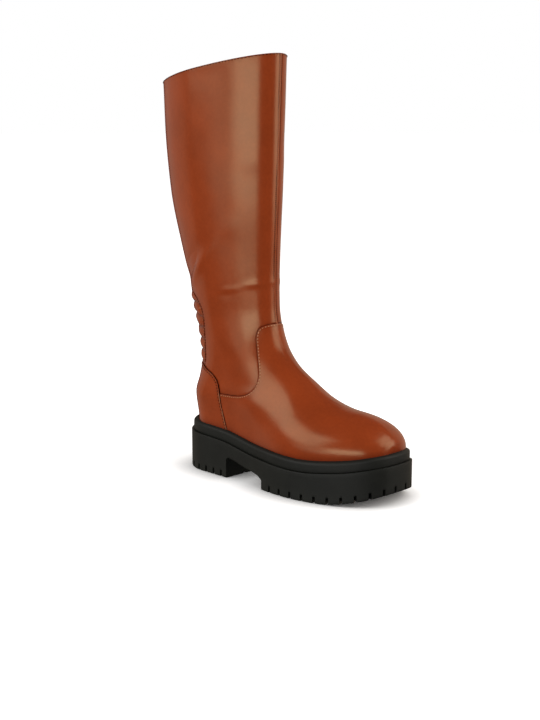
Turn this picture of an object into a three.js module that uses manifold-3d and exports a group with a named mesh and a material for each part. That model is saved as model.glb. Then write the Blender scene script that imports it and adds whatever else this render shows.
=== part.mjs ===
// Knee-high boot with a lugged platform sole, for the right foot. Millimetres, +Z up. The toe points to +X and
// the wearer's outer side to -Y. The tables count x forwards from the back edge of the sole and z up from the
// floor; the finished boot is moved so that its origin is on the floor under the middle of the heel.
import * as THREE from "three";
import { mergeGeometries, mergeVertices } from "three/addons/utils/BufferGeometryUtils.js";
import Module from "manifold-3d";

const wasm = await Module();
wasm.setup();

// ---- Driving dimensions -------------------------------------------------------------------------------------
const SOLE_LENGTH = 270; // from the back of the heel to the tip of the toe
const HEEL_CENTRE = 40; // from the back of the sole to the middle of the heel's tread
const HEEL_TOP = 54; // height of the sole's top edge at the back of the heel
const WAIST_TOP = 43.5;
const BALL_TOP = 41; // platform height under the ball of the foot
const TOE_TOP = 53;
const TOE_SPRING = 13; // how far the tip of the sole stands off the floor
const FLAT_END = 207; // where the tread starts to rise towards the toe
const RAND_HEIGHT = 12; // upper tier of the sole
const RAND_INSET = 2.4; // how far that tier is set in from the outsole's wall
const FEATHER_INSET = 7; // from the outsole's wall to the leather where the two meet
const HEEL_BREAST = 80; // front face of the heel block
const TREAD_START = 138; // rear face of the forefoot tread
const WALL = 2; // leather and lining together
const SEAM_GAP = 0.3; // between pieces that meet
const COLLAR_BACK = 412.5;
const COLLAR_FRONT = 440;
const COUNTER_LEATHER = 1.3;
const COUNTER_TOP = 138; // above its cut edge, where the rings for its leather stop
const INSOLE = { thickness: 2.5, inset: 5 }; // inset from the inside of the wall at the sole
const PUFFS = { count: 6, bottom: 118, top: 194, height: 2.4 }; // gathers of the ruched panel
const PUFF_FADE = { from: 16, to: 34, left: 0.35 }; // forwards, the gathers flatten to this share
const SLOT = { width: 3, height: 6.5, depth: 14, heelPitch: 12, forePitch: 14.5 }; // between side lugs
const SLOT_MARGIN = { breast: 9.5, foreStart: 13.5, far: 6 }; // from the treads' ends to the nearest slots

// ---- Interpolation ------------------------------------------------------------------------------------------
const clamp01 = (t) => Math.min(1, Math.max(0, t));
const ease = (t) => clamp01(t) ** 2 * (3 - 2 * clamp01(t));
const mix = (a, b, t) => a + (b - a) * t;

// A smooth curve through a table's rows that never overshoots: column `to` as a function of column `from`.
function through(rows, from, to) {
  const x = rows.map((row) => row[from]);
  const y = rows.map((row) => row[to]);
  const last = rows.length - 1;
  const slope = x.slice(1).map((value, i) => (y[i + 1] - y[i]) / (value - x[i]));
  const tangent = x.map((_, i) => {
    if (i === 0 || i === last) return slope[Math.min(i, last - 1)];
    if (slope[i - 1] * slope[i] <= 0) return 0;
    const before = x[i] - x[i - 1];
    const after = x[i + 1] - x[i];
    const a = 2 * after + before;
    const b = after + 2 * before;
    return (a + b) / (a / slope[i - 1] + b / slope[i]);
  });
  return (at) => {
    if (at <= x[0]) return y[0];
    if (at >= x[last]) return y[last];
    const i = x.findIndex((value) => value > at) - 1;
    const span = x[i + 1] - x[i];
    const t = (at - x[i]) / span;
    const bend = span * (tangent[i] * (t ** 3 - 2 * t ** 2 + t) + tangent[i + 1] * (t ** 3 - t ** 2));
    return mix(y[i], y[i + 1], 3 * t ** 2 - 2 * t ** 3) + bend;
  };
}

// Rounds off the end of a section: 0 at the end, 1 from `reach` inwards, a quarter ellipse when the power is 2.
function rounding(depth, reach, power = 2) {
  return (1 - (1 - clamp01(depth / reach)) ** power) ** (1 / power);
}

// ---- Sole lines ---------------------------------------------------------------------------------------------
// Half widths of the outsole on each side of the straight line through the heel.
const SOLE_ROWS = [
  { x: 0, outer: 41.5, inner: 41.5 },
  { x: 45, outer: 43, inner: 41.5 },
  { x: 80, outer: 43.5, inner: 39 },
  { x: 115, outer: 45.5, inner: 38.5 },
  { x: 150, outer: 49.5, inner: 44 },
  { x: 182, outer: 51.5, inner: 50.3 },
  { x: 205, outer: 51, inner: 52 },
  { x: SOLE_LENGTH, outer: 49, inner: 50.5 },
];
const HEEL_ROUND = { reach: 42, power: 2.2 };
const TOE_ROUND = { outerReach: 88, innerReach: 53, power: 2.45 };
const TOE_SWING = { start: 150, end: SOLE_LENGTH, distance: 11 }; // the toe turns to the wearer's inner side
const outerHalf = through(SOLE_ROWS, "x", "outer");
const innerHalf = through(SOLE_ROWS, "x", "inner");

// The wall's y at x: side -1 is the outer side and +1 the inner side.
function soleSide(x, side) {
  const half = side < 0 ? outerHalf(x) : innerHalf(x);
  const toeReach = side < 0 ? TOE_ROUND.outerReach : TOE_ROUND.innerReach;
  const heelEnd = rounding(x, HEEL_ROUND.reach, HEEL_ROUND.power);
  const toeEnd = rounding(SOLE_LENGTH - x, toeReach, TOE_ROUND.power);
  const swing = ease((x - TOE_SWING.start) / (TOE_SWING.end - TOE_SWING.start));
  return side * half * heelEnd * toeEnd + TOE_SWING.distance * swing;
}

const SOLE_STATIONS = 30;

// The outline seen from above, from the heel along the outer side to the toe and back, moved in by `inset`.
function outline(inset) {
  const station = (i) => (SOLE_LENGTH / 2) * (1 - Math.cos((Math.PI * i) / SOLE_STATIONS));
  const loop = [];
  for (let i = 0; i <= SOLE_STATIONS; i++) loop.push([station(i), soleSide(station(i), -1)]);
  for (let i = SOLE_STATIONS - 1; i > 0; i--) loop.push([station(i), soleSide(station(i), 1)]);
  return grown(loop, -inset);
}

// A closed loop, counter-clockwise, moved outwards by a distance.
function grown(loop, distance) {
  const n = loop.length;
  return loop.map(([x, y], i) => {
    const [ax, ay] = loop[(i + n - 1) % n];
    const [bx, by] = loop[(i + 1) % n];
    const chord = Math.hypot(bx - ax, by - ay);
    return [x + ((by - ay) / chord) * distance, y - ((bx - ax) / chord) * distance];
  });
}

const SOLE_TOP_ROWS = [
  { x: 0, z: HEEL_TOP },
  { x: 70, z: HEEL_TOP - 3 },
  { x: 125, z: WAIST_TOP },
  { x: 185, z: BALL_TOP },
  { x: 232, z: mix(BALL_TOP, TOE_TOP, 0.36) },
  { x: SOLE_LENGTH, z: TOE_TOP },
];
const soleTop = through(SOLE_TOP_ROWS, "x", "z");
const tierLine = (x) => soleTop(x) - RAND_HEIGHT;
const tread = (x) => TOE_SPRING * clamp01((x - FLAT_END) / (SOLE_LENGTH - FLAT_END)) ** 2;

// ---- Side view of the upper ---------------------------------------------------------------------------------
const FEATHER_TOE = 262.5; // where the leather meets the sole at the toe
// Toe, vamp ridge, instep and shin, from the sole up to the collar.
const FRONT_ROWS = [
  { x: FEATHER_TOE, z: soleTop(FEATHER_TOE) + SEAM_GAP },
  { x: 263, z: 58 },
  { x: 260, z: 65.6 },
  { x: 252.5, z: 72.6 },
  { x: 241.5, z: 79 },
  { x: 226, z: 84 },
  { x: 204, z: 88 },
  { x: 180, z: 97.4 },
  { x: 157, z: 113.6 },
  { x: 136, z: 128.2 },
  { x: 121.5, z: 143.4 },
  { x: 112.8, z: 162.5 },
  { x: 109.4, z: 182 },
  { x: 109, z: 205 },
  { x: 112, z: 290 },
  { x: 117.5, z: COLLAR_FRONT },
];
// Heel, tendon and calf.
const BACK_ROWS = [
  { z: 50, x: 6 },
  { z: 60, x: 3 },
  { z: 70, x: 1.6 },
  { z: 82, x: 3.4 },
  { z: 100, x: 9.6 },
  { z: 118, x: 12.2 },
  { z: 141, x: 9.2 },
  { z: 165, x: 2.2 },
  { z: 200, x: -9.6 },
  { z: 250, x: -26 },
  { z: 300, x: -39 },
  { z: 360, x: -46.5 },
  { z: COLLAR_FRONT, x: -49.4 },
];
const backAt = through(BACK_ROWS, "z", "x");

// A path through the front rows, measured by the distance run along it.
function pathThrough(rows) {
  let run = 0;
  const measured = rows.map((row, i) => {
    if (i > 0) run += Math.hypot(row.x - rows[i - 1].x, row.z - rows[i - 1].z);
    return { ...row, run };
  });
  const xAt = through(measured, "run", "x");
  const zAt = through(measured, "run", "z");
  return { length: run, at: (distance) => ({ x: xAt(distance), z: zAt(distance) }) };
}
const frontPath = pathThrough(FRONT_ROWS);
const FRONT_SAMPLES = 160;
const frontLine = Array.from({ length: FRONT_SAMPLES + 1 }, (_, i) =>
  frontPath.at((frontPath.length * i) / FRONT_SAMPLES),
);

// Distance from a point of the side view to the front line.
function behindFront(x, z) {
  let nearest = Infinity;
  for (let i = 1; i < frontLine.length; i++) {
    const a = frontLine[i - 1];
    const b = frontLine[i];
    const along = (x - a.x) * (b.x - a.x) + (z - a.z) * (b.z - a.z);
    const t = clamp01(along / ((b.x - a.x) ** 2 + (b.z - a.z) ** 2));
    nearest = Math.min(nearest, Math.hypot(x - mix(a.x, b.x, t), z - mix(a.z, b.z, t)));
  }
  return nearest;
}

const SHIN_START = 190; // above this height the front line no longer leans over the foot
const TOE_FACE = 59; // below this height it drops straight to the sole
const SHIN_FOOT = 100; // above this height a single x stands for the front line
const ridgeRows = frontLine
  .filter((point) => point.z > TOE_FACE && point.z < SHIN_START)
  .sort((a, b) => a.x - b.x);
const ridgeAt = through(ridgeRows, "x", "z");
const shinRows = frontLine.filter((point) => point.z > SHIN_FOOT);
const shinAt = through(shinRows, "z", "x");

// ---- Cross-sections of the upper ----------------------------------------------------------------------------
// Leg sections by height: the half width, and how far the front and back roundings reach in.
const LEG_ROWS = [
  { z: 50, half: 37, frontReach: 60, backReach: 33 },
  { z: 80, half: 37.5, frontReach: 60, backReach: 34 },
  { z: 105, half: 34, frontReach: 60, backReach: 37 },
  { z: 130, half: 33.5, frontReach: 60, backReach: 42 },
  { z: 165, half: 34.5, frontReach: 66, backReach: 50 },
  { z: 210, half: 37, frontReach: 76, backReach: 58 },
  { z: 260, half: 40.5, frontReach: 88, backReach: 68 },
  { z: 320, half: 44, frontReach: 100, backReach: 78 },
  { z: 380, half: 46, frontReach: 106, backReach: 84 },
  { z: COLLAR_FRONT, half: 47, frontReach: 108, backReach: 86 },
];
const legHalf = through(LEG_ROWS, "z", "half");
const legFrontReach = through(LEG_ROWS, "z", "frontReach");
const legBackReach = through(LEG_ROWS, "z", "backReach");
const FOREFOOT_POWER = 1.85; // roundness of the forefoot's arch across
const LEAST_SEAT = 10; // the leather stands at least this far from the middle line at the sole
const FEATHER_BULGE = { size: 0.045, height: 42 }; // the leather swells a little above the sole

const featherLoop = outline(FEATHER_INSET).map(([x, y]) => ({ x, y }));
const featherOuter = through(featherLoop.slice(0, SOLE_STATIONS + 1), "x", "y");
const featherInner = through([featherLoop[0], ...featherLoop.slice(SOLE_STATIONS).reverse()], "x", "y");

// Where one form passes smoothly into the next, along x or up z.
const SWING_STARTS = { from: 60, to: 150 }; // along the foot, the middle line leaves the leg's centre plane
const SWING_ENDS = { from: 100, to: 190 }; // up the leg, it comes back to it
const FLANK_FROM_SOLE = 62; // height over which the heel's flank turns from the sole's outline to the leg's
const FLANK_TO_LEG = { from: 60, to: 120 };
const FOREFOOT_STARTS = { from: 112, to: 167 };
const FOREFOOT_ENDS = { from: 120, to: 165 };
const passed = (value, { from, to }) => ease((value - from) / (to - from));

// The upper's middle line swings towards the inner side over the forefoot.
function middle(x, z) {
  const overSole = (featherOuter(x) + featherInner(x)) / 2;
  return overSole * passed(x, SWING_STARTS) * (1 - passed(z, SWING_ENDS));
}

// Half width at a point of the side view, measured from the middle line.
function halfWidth(x, z, side) {
  const base = soleTop(x);
  const edge = side < 0 ? featherOuter(x) : featherInner(x);
  const seat = Math.max(0, side * (edge - middle(x, base)));
  const rise = clamp01((z - base) / Math.max(1, ridgeAt(x) - base));
  const bulge = 1 + FEATHER_BULGE.size * Math.sin(Math.PI * clamp01((z - base) / FEATHER_BULGE.height));
  const foot = seat * bulge * (1 - rise ** FOREFOOT_POWER) ** (1 / FOREFOOT_POWER);
  const lowFlank = mix(Math.max(seat, LEAST_SEAT), legHalf(z), ease((z - base) / FLANK_FROM_SOLE));
  const flank = mix(lowFlank, legHalf(z), passed(z, FLANK_TO_LEG));
  const frontEnd = rounding(behindFront(x, z), legFrontReach(z));
  const backEnd = rounding(x - backAt(z), legBackReach(z));
  const overForefoot = passed(x, FOREFOOT_STARTS) * (1 - passed(z, FOREFOOT_ENDS));
  return mix(flank * frontEnd * backEnd, foot, overForefoot);
}

function surfacePoint(x, z, side) {
  return new THREE.Vector3(x, middle(x, z) + side * halfWidth(x, z, side), z);
}

// ---- Rings round the upper ----------------------------------------------------------------------------------
const RINGS = 25;
const RING_POINTS = 44;
// Where each ring crosses the back line (height) and the front line (distance run from the toe's feather edge).
const RING_ROWS = [
  { ring: 0, back: HEEL_TOP + SEAM_GAP, run: 0 },
  { ring: 2, back: 60, run: 9 },
  { ring: 5, back: 66, run: 31 },
  { ring: 8, back: 76, run: 71 },
  { ring: 11, back: 88, run: 117 },
  { ring: 14, back: 102, run: 166 },
  { ring: 16, back: 118, run: 199 },
  { ring: 18, back: 144, run: 232 },
  { ring: RINGS, back: COLLAR_BACK, run: frontPath.length },
];
const ringBack = through(RING_ROWS, "ring", "back");
const ringRun = through(RING_ROWS, "ring", "run");
const FOLLOWS_SOLE = 9; // rings below this one bend with the sole's top edge

// Goes round from the back along the outer side to the front and back along the inner side.
function roundTrip(pointAt) {
  return Array.from({ length: RING_POINTS }, (_, i) => {
    const turn = (2 * Math.PI * i) / RING_POINTS;
    const along = (1 - Math.cos(turn)) / 2;
    const onMiddle = i === 0 || 2 * i === RING_POINTS;
    const side = onMiddle ? 0 : Math.sign(Math.PI - turn) * -1;
    return pointAt(along, side);
  });
}

function tiltedRing(level) {
  const back = { x: backAt(ringBack(level)), z: ringBack(level) };
  const front = frontPath.at(ringRun(level));
  const bend = 1 - ease(level / FOLLOWS_SOLE);
  return roundTrip((along, side) => {
    const x = mix(back.x, front.x, along);
    const straight = mix(back.z, front.z, along);
    const followed = soleTop(x) + mix(back.z - soleTop(back.x), front.z - soleTop(front.x), along);
    return surfacePoint(x, mix(straight, followed, bend), side);
  });
}

function levelRing(z) {
  return roundTrip((along, side) => surfacePoint(mix(backAt(z), shinAt(z), along), z, side));
}

// Outward normals of a stack of rings. The first and last rings' normals lie flat, so that the rims do too.
function normalsOf(rings) {
  const last = rings.length - 1;
  return rings.map((ring, j) =>
    ring.map((_, i) => {
      const next = ring[(i + 1) % ring.length];
      const previous = ring[(i + ring.length - 1) % ring.length];
      const up = rings[Math.min(j + 1, last)][i].clone().sub(rings[Math.max(j - 1, 0)][i]);
      const normal = next.clone().sub(previous).cross(up);
      if (j === 0 || j === last) normal.z = 0;
      return normal.normalize();
    }),
  );
}

// The skin between two offsets of a stack of rings. An offset is a function of the point.
function skin(rings, outerOffset, innerOffset) {
  const normals = normalsOf(rings);
  const moved = (offset) =>
    rings.map((ring, j) => ring.map((point, i) => point.clone().addScaledVector(normals[j][i], offset(point))));
  return closedTube(moved(outerOffset), moved(innerOffset).reverse());
}

// ---- Solids -------------------------------------------------------------------------------------------------
// A closed surface through the outer rings, going up, and the inner rings, coming down. Both halves split their
// quads along the same diagonal, so that layers laid over one another stay parallel.
function closedTube(outer, inner) {
  const rings = [...outer, ...inner];
  const n = outer[0].length;
  const index = [];
  rings.forEach((_, j) => {
    const above = (j + 1) % rings.length;
    for (let i = 0; i < n; i++) {
      const next = (i + 1) % n;
      const [a, b, c, d] = [j * n + i, j * n + next, above * n + next, above * n + i];
      if (j < outer.length) index.push(a, b, c, a, c, d);
      else index.push(a, b, d, b, c, d);
    }
  });
  return solidOf(rings.flat(), index);
}

// A slab with the sole's outline, between two heights that depend on x.
function slab(inset, bottomAt, topAt) {
  const loop = outline(inset);
  const n = loop.length;
  const bottom = loop.map(([x, y]) => new THREE.Vector3(x, y, bottomAt(x)));
  const top = loop.map(([x, y]) => new THREE.Vector3(x, y, topAt(x)));
  const index = [];
  for (let i = 0; i < n; i++) {
    const next = (i + 1) % n;
    index.push(i, next, n + next, i, n + next, n + i);
  }
  const cap = (a, b, c) => {
    index.push(n + a, n + b, n + c);
    index.push(c, b, a);
  };
  cap(0, 1, n - 1);
  for (let i = 1; i < SOLE_STATIONS - 1; i++) {
    cap(i, i + 1, n - i);
    cap(n - i, i + 1, n - i - 1);
  }
  cap(SOLE_STATIONS - 1, SOLE_STATIONS, SOLE_STATIONS + 1);
  return solidOf([...bottom, ...top], index);
}

function solidOf(points, index) {
  const geometry = new THREE.BufferGeometry().setFromPoints(points);
  geometry.setIndex(index);
  return solidFrom(geometry);
}

function solidFrom(geometry) {
  const bare = geometry.clone();
  bare.deleteAttribute("normal");
  bare.deleteAttribute("uv");
  const merged = mergeVertices(bare, 1e-4);
  return new wasm.Manifold(
    new wasm.Mesh({
      numProp: 3,
      vertProperties: new Float32Array(merged.attributes.position.array),
      triVerts: new Uint32Array(merged.index.array),
    }),
  );
}

function geometryFrom(solid) {
  const { numVert, numProp, vertProperties, triVerts } = solid.getMesh();
  const points = Array.from({ length: numVert }, (_, i) =>
    new THREE.Vector3().fromArray(vertProperties, i * numProp),
  );
  const geometry = new THREE.BufferGeometry().setFromPoints(points);
  geometry.setIndex(new THREE.BufferAttribute(triVerts, 1));
  geometry.computeVertexNormals();
  return geometry;
}

// ---- Seams, in side view ------------------------------------------------------------------------------------
const CUT_WIDTH = 200; // across the boot, wider than all of it

// From the shin, down behind the vamp, and back along the top of the low quarter.
const VAMP_EDGE = [
  { x: 118, z: 165.2 },
  { x: 110, z: 164.6 },
  { x: 104.6, z: 161.2 },
  { x: 103, z: 155 },
  { x: 107.4, z: 137 },
  { x: 113.5, z: 121 },
  { x: 116.2, z: 112 },
  { x: 115, z: 104 },
  { x: 110.5, z: 97.5 },
  { x: 103, z: 92.5 },
  { x: 88, z: 89.3 },
  { x: 64, z: 88.2 },
  { x: 20, z: 88 },
];
// From behind the tendon, over the heel and down to the sole.
const COUNTER_EDGE = [
  { x: -5, z: 117.5 },
  { x: 14, z: 117.2 },
  { x: 28, z: 114.5 },
  { x: 40, z: 110.8 },
  { x: 49.5, z: 107 },
  { x: 57, z: 101 },
  { x: 61.5, z: 94 },
  { x: 64.5, z: 85 },
  { x: 67.5, z: 73 },
  { x: 71, z: 62 },
  { x: 75, z: 52 },
];
// From above the tendon, forwards and down to the heel counter.
const GUSSET_EDGE = [
  { x: -15, z: 193.6 },
  { x: 0, z: 193.4 },
  { x: 10, z: 191.8 },
  { x: 19, z: 187.4 },
  { x: 27, z: 181 },
  { x: 31.8, z: 173 },
  { x: 34, z: 162 },
  { x: 33.4, z: 146 },
  { x: 33, z: 130 },
  { x: 33, z: 114 },
];
const EDGE_STEPS = 3; // straight lengths between two rows of an edge

// A closed loop, counter-clockwise: the smooth edge, and the corners that close it.
function region(edge, corners) {
  const curve = new THREE.SplineCurve(edge.map((row) => new THREE.Vector2(row.x, row.z)));
  const points = curve.getPoints((edge.length - 1) * EDGE_STEPS).concat(corners);
  const loop = points.map((point) => [point.x, point.y]);
  return THREE.ShapeUtils.area(points) < 0 ? loop.reverse() : loop;
}

const corner = (x, z) => new THREE.Vector2(x, z);
// The corners lie behind, in front of or below the whole boot.
const BEHIND = -60;
const AHEAD = 300;
const BELOW = -10;
const lowerCorners = [corner(BEHIND, 88), corner(BEHIND, BELOW), corner(AHEAD, BELOW), corner(AHEAD, 165.2)];
const counterCorners = [corner(75, BELOW), corner(BEHIND, BELOW), corner(BEHIND, 117.5)];
const gussetCorners = [corner(22, 116.6), corner(12, 118), corner(BEHIND, 118), corner(BEHIND, 193.6)];
const lowerRegion = region(VAMP_EDGE, lowerCorners);
const counterRegion = region(COUNTER_EDGE, counterCorners);
const gussetRegion = region(GUSSET_EDGE, gussetCorners);

// Everything whose side view falls inside a loop.
function sideCut(loop) {
  const shape = new THREE.Shape(loop.map(([x, z]) => new THREE.Vector2(x, z)));
  const geometry = new THREE.ExtrudeGeometry(shape, { depth: CUT_WIDTH, bevelEnabled: false });
  geometry.translate(0, 0, -CUT_WIDTH / 2);
  geometry.rotateX(Math.PI / 2);
  return solidFrom(geometry);
}

// ---- Pieces -------------------------------------------------------------------------------------------------
const tiltedRings = Array.from({ length: RINGS + 1 }, (_, level) => tiltedRing(level));
const wholeUpper = skin(tiltedRings, () => 0, () => -WALL);

function makeUpper() {
  return wholeUpper.intersect(sideCut(lowerRegion));
}

function makeShaft() {
  const aboveVamp = wholeUpper.subtract(sideCut(grown(lowerRegion, SEAM_GAP)));
  return aboveVamp.subtract(sideCut(grown(gussetRegion, SEAM_GAP)));
}

function makeHeelCounter() {
  const heelRings = tiltedRings.filter((ring) => ring[0].z < COUNTER_TOP);
  const leather = skin(heelRings, () => SEAM_GAP + COUNTER_LEATHER, () => SEAM_GAP);
  return leather.intersect(sideCut(counterRegion));
}

// Height of the gathers over the shaft's surface, dying away towards the panel's side seams.
function puffHeight(point) {
  const turns = (PUFFS.count * (point.z - PUFFS.bottom)) / (PUFFS.top - PUFFS.bottom);
  const share = mix(1, PUFF_FADE.left, passed(point.x, PUFF_FADE));
  return PUFFS.height * Math.abs(Math.sin(Math.PI * turns)) * share;
}

function makeBackGusset() {
  const perPuff = 4;
  const step = (PUFFS.top - PUFFS.bottom) / (PUFFS.count * perPuff);
  const rings = [];
  for (let i = -2; i <= PUFFS.count * perPuff + 1; i++) rings.push(levelRing(PUFFS.bottom + i * step));
  const gathered = skin(rings, puffHeight, () => -WALL);
  return gathered.intersect(sideCut(gussetRegion)).subtract(sideCut(grown(counterRegion, SEAM_GAP)));
}

const ARCH = [
  { x: HEEL_BREAST, z: -5 },
  { x: HEEL_BREAST + 0.5, z: 19 },
  { x: HEEL_BREAST + 3, z: 22 },
  { x: 108, z: 17.5 },
  { x: 132, z: 13 },
  { x: TREAD_START - 1, z: 10 },
  { x: TREAD_START, z: -5 },
];

// Boxes along the sole's edge, where the gaps between the side lugs go.
function slotCutters() {
  const loop = outline(0).map(([x, y]) => new THREE.Vector3(x, y, 0));
  const edge = new THREE.CatmullRomCurve3(loop, true, "catmullrom", 0.5);
  const length = edge.getLength();
  const heelHalf = runTo(loop, HEEL_BREAST);
  const foreStart = runTo(loop, TREAD_START);
  const heelEnd = SLOT_MARGIN.far - heelHalf;
  const foreEnd = length - foreStart - SLOT_MARGIN.far;
  const runs = [];
  for (let run = heelHalf - SLOT_MARGIN.breast; run > heelEnd; run -= SLOT.heelPitch) runs.push(run);
  for (let run = foreStart + SLOT_MARGIN.foreStart; run < foreEnd; run += SLOT.forePitch) runs.push(run);
  return runs.map((run) => {
    const t = ((run + length) % length) / length;
    const point = edge.getPointAt(t);
    const tangent = edge.getTangentAt(t);
    const box = new THREE.BoxGeometry(SLOT.width, 2 * SLOT.depth, 2 * SLOT.height);
    box.rotateZ(Math.atan2(tangent.y, tangent.x));
    box.translate(point.x, point.y, tread(point.x));
    return box;
  });
}

// Distance along the sole's outer edge from the back of the heel to x.
function runTo(loop, x) {
  let run = 0;
  for (let i = 1; loop[i].x < x; i++) run += loop[i].distanceTo(loop[i - 1]);
  return run;
}

function makeOutsole() {
  const block = slab(0, tread, tierLine);
  const arched = block.subtract(sideCut(ARCH.map((row) => [row.x, row.z]).reverse()));
  return arched.subtract(solidFrom(mergeGeometries(slotCutters())));
}

function makeMidsole() {
  return slab(RAND_INSET, (x) => tierLine(x) + SEAM_GAP, soleTop);
}

function makeInsole() {
  const lift = SEAM_GAP;
  const inset = FEATHER_INSET + WALL + INSOLE.inset;
  return slab(inset, (x) => soleTop(x) + lift, (x) => soleTop(x) + lift + INSOLE.thickness);
}

// ---- Scene graph --------------------------------------------------------------------------------------------
const materials = {
  leather: new THREE.MeshStandardMaterial({ color: 0x8f4024, roughness: 0.38, metalness: 0 }),
  rubber: new THREE.MeshStandardMaterial({ color: 0x262622, roughness: 0.6, metalness: 0 }),
  lining: new THREE.MeshStandardMaterial({ color: 0xa98463, roughness: 0.85, metalness: 0 }),
};

function piece(name, solid, material) {
  const mesh = new THREE.Mesh(geometryFrom(solid), material);
  mesh.name = name;
  return mesh;
}

const boot = new THREE.Group();
boot.position.x = -HEEL_CENTRE;
boot.add(
  piece("outsole", makeOutsole(), materials.rubber),
  piece("midsole", makeMidsole(), materials.rubber),
  piece("insole", makeInsole(), materials.lining),
  piece("upper", makeUpper(), materials.leather),
  piece("shaft", makeShaft(), materials.leather),
  piece("heel_counter", makeHeelCounter(), materials.leather),
  piece("back_gusset", makeBackGusset(), materials.leather),
);

export default boot;
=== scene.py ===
"""Knee-high leather boot with a ruched ankle panel and a lugged platform sole.

Tables are in millimetres: x runs forwards from the back edge of the sole, z up from the floor, and side -1
is the wearer's outer side (-Y). Meshes are built in metres, with the origin on the floor under the middle of
the heel.
"""

import bmesh
import bpy
import numpy as np
from bpy.props import FloatProperty, FloatVectorProperty, IntProperty, PointerProperty
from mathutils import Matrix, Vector


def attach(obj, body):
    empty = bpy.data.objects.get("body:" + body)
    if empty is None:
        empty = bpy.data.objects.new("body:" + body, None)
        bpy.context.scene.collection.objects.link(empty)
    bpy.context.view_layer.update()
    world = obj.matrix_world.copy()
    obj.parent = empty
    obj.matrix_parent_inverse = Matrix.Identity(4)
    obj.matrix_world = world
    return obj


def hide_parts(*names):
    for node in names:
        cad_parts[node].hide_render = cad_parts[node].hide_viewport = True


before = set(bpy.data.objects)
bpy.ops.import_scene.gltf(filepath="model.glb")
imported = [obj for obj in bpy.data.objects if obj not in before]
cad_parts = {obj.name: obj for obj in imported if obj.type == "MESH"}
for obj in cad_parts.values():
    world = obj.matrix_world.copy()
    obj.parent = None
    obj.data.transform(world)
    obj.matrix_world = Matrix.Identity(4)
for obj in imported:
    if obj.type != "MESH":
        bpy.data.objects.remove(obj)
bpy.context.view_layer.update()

bl_info = {
    "name": "Knee-high Boot",
    "version": (1, 0, 0),
    "blender": (4, 5, 0),
    "location": "3D View > Sidebar > Boot",
    "description": "Builds a knee-high leather boot with a ruched ankle panel and a lugged platform sole",
    "category": "Object",
}

MM = 0.001

# ---- Driving dimensions, millimetres -----------------------------------------
SOLE_LENGTH = 270.0
HEEL_CENTRE = 40.0
HEEL_TOP = 54.0
WAIST_TOP = 43.5
BALL_TOP = 41.0
TOE_TOP = 53.0
TOE_SPRING = 13.0
FLAT_END = 207.0
RAND_HEIGHT = 12.0
FEATHER_INSET = 7.0
HEEL_BREAST = 80.0
TREAD_START = 138.0
WALL = 2.0
# How far the leather's lower edge stands above the sole's top.
SEAT_GAP = 0.3
COLLAR_BACK = 412.5
COLLAR_FRONT = 440.0


# ---- Interpolation -----------------------------------------------------------
def table(names, *rows):
    """A table of named columns."""
    return dict(zip(names.split(), np.array(rows, float).T))


def mix(a, b, t):
    return a + (b - a) * t


def ease(t):
    """3t^2 - 2t^3 between 0 and 1, flat outside."""
    t = np.clip(t, 0, 1)
    return t * t * (3 - 2 * t)


def bump(t, centre, width):
    """A bell, exp(-((t - centre) / width)^2)."""
    return np.exp(-(((t - centre) / width) ** 2))


def through(rows, source, target):
    """A smooth curve through a table's rows that never overshoots: monotone cubic pieces."""
    x, y = rows[source], rows[target]
    h = np.diff(x)
    slope = np.diff(y) / h
    tangent = np.empty_like(x)
    tangent[0], tangent[-1] = slope[0], slope[-1]
    same = slope[:-1] * slope[1:] > 0
    a = 2 * h[1:] + h[:-1]
    b = h[1:] + 2 * h[:-1]
    safe = np.where(same, slope[:-1], 1), np.where(same, slope[1:], 1)
    tangent[1:-1] = np.where(same, (a + b) / (a / safe[0] + b / safe[1]), 0)

    def curve(at):
        at = np.clip(np.asarray(at, float), x[0], x[-1])
        i = np.clip(np.searchsorted(x, at, side="right") - 1, 0, len(h) - 1)
        t = (at - x[i]) / h[i]
        bend = h[i] * (tangent[i] * (t**3 - 2 * t**2 + t) + tangent[i + 1] * (t**3 - t**2))
        return mix(y[i], y[i + 1], 3 * t**2 - 2 * t**3) + bend

    return curve


def rounding(depth, reach, power=2.0):
    """0 at the end of a section and 1 from `reach` inwards, a quarter ellipse when the power is 2."""
    return (1 - (1 - np.clip(depth / reach, 0, 1)) ** power) ** (1 / power)


def path_through(points, per_mm=2.0):
    """A smooth path through points [x, z], as a function of the fraction of its length from 0 to 1."""
    points = np.asarray(points, float)
    run = np.concatenate([[0], np.cumsum(np.hypot(*np.diff(points, axis=0).T))])
    rows = {"run": run, "x": points[:, 0], "z": points[:, 1]}
    x_at, z_at = through(rows, "run", "x"), through(rows, "run", "z")
    fine = np.linspace(0, run[-1], int(run[-1] * per_mm) + 2)
    px, pz = x_at(fine), z_at(fine)
    length = np.concatenate([[0], np.cumsum(np.hypot(np.diff(px), np.diff(pz)))])
    total = length[-1]

    def at(s):
        return np.interp(np.asarray(s) * total, length, px), np.interp(np.asarray(s) * total, length, pz)

    at.length = total
    return at


# ---- Sole lines --------------------------------------------------------------
SOLE_ROWS = table(
    "x outer inner",
    (0, 41.5, 41.5),
    (45, 43, 41.5),
    (80, 43.5, 39),
    (115, 45.5, 38.5),
    (150, 49.5, 44),
    (182, 51.5, 50.3),
    (205, 51, 52),
    (SOLE_LENGTH, 49, 50.5),
)
SOLE_TOP_ROWS = table(
    "x z",
    (0, HEEL_TOP),
    (70, HEEL_TOP - 3),
    (125, WAIST_TOP),
    (185, BALL_TOP),
    (232, mix(BALL_TOP, TOE_TOP, 0.36)),
    (SOLE_LENGTH, TOE_TOP),
)
outer_half = through(SOLE_ROWS, "x", "outer")
inner_half = through(SOLE_ROWS, "x", "inner")
sole_top = through(SOLE_TOP_ROWS, "x", "z")


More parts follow.
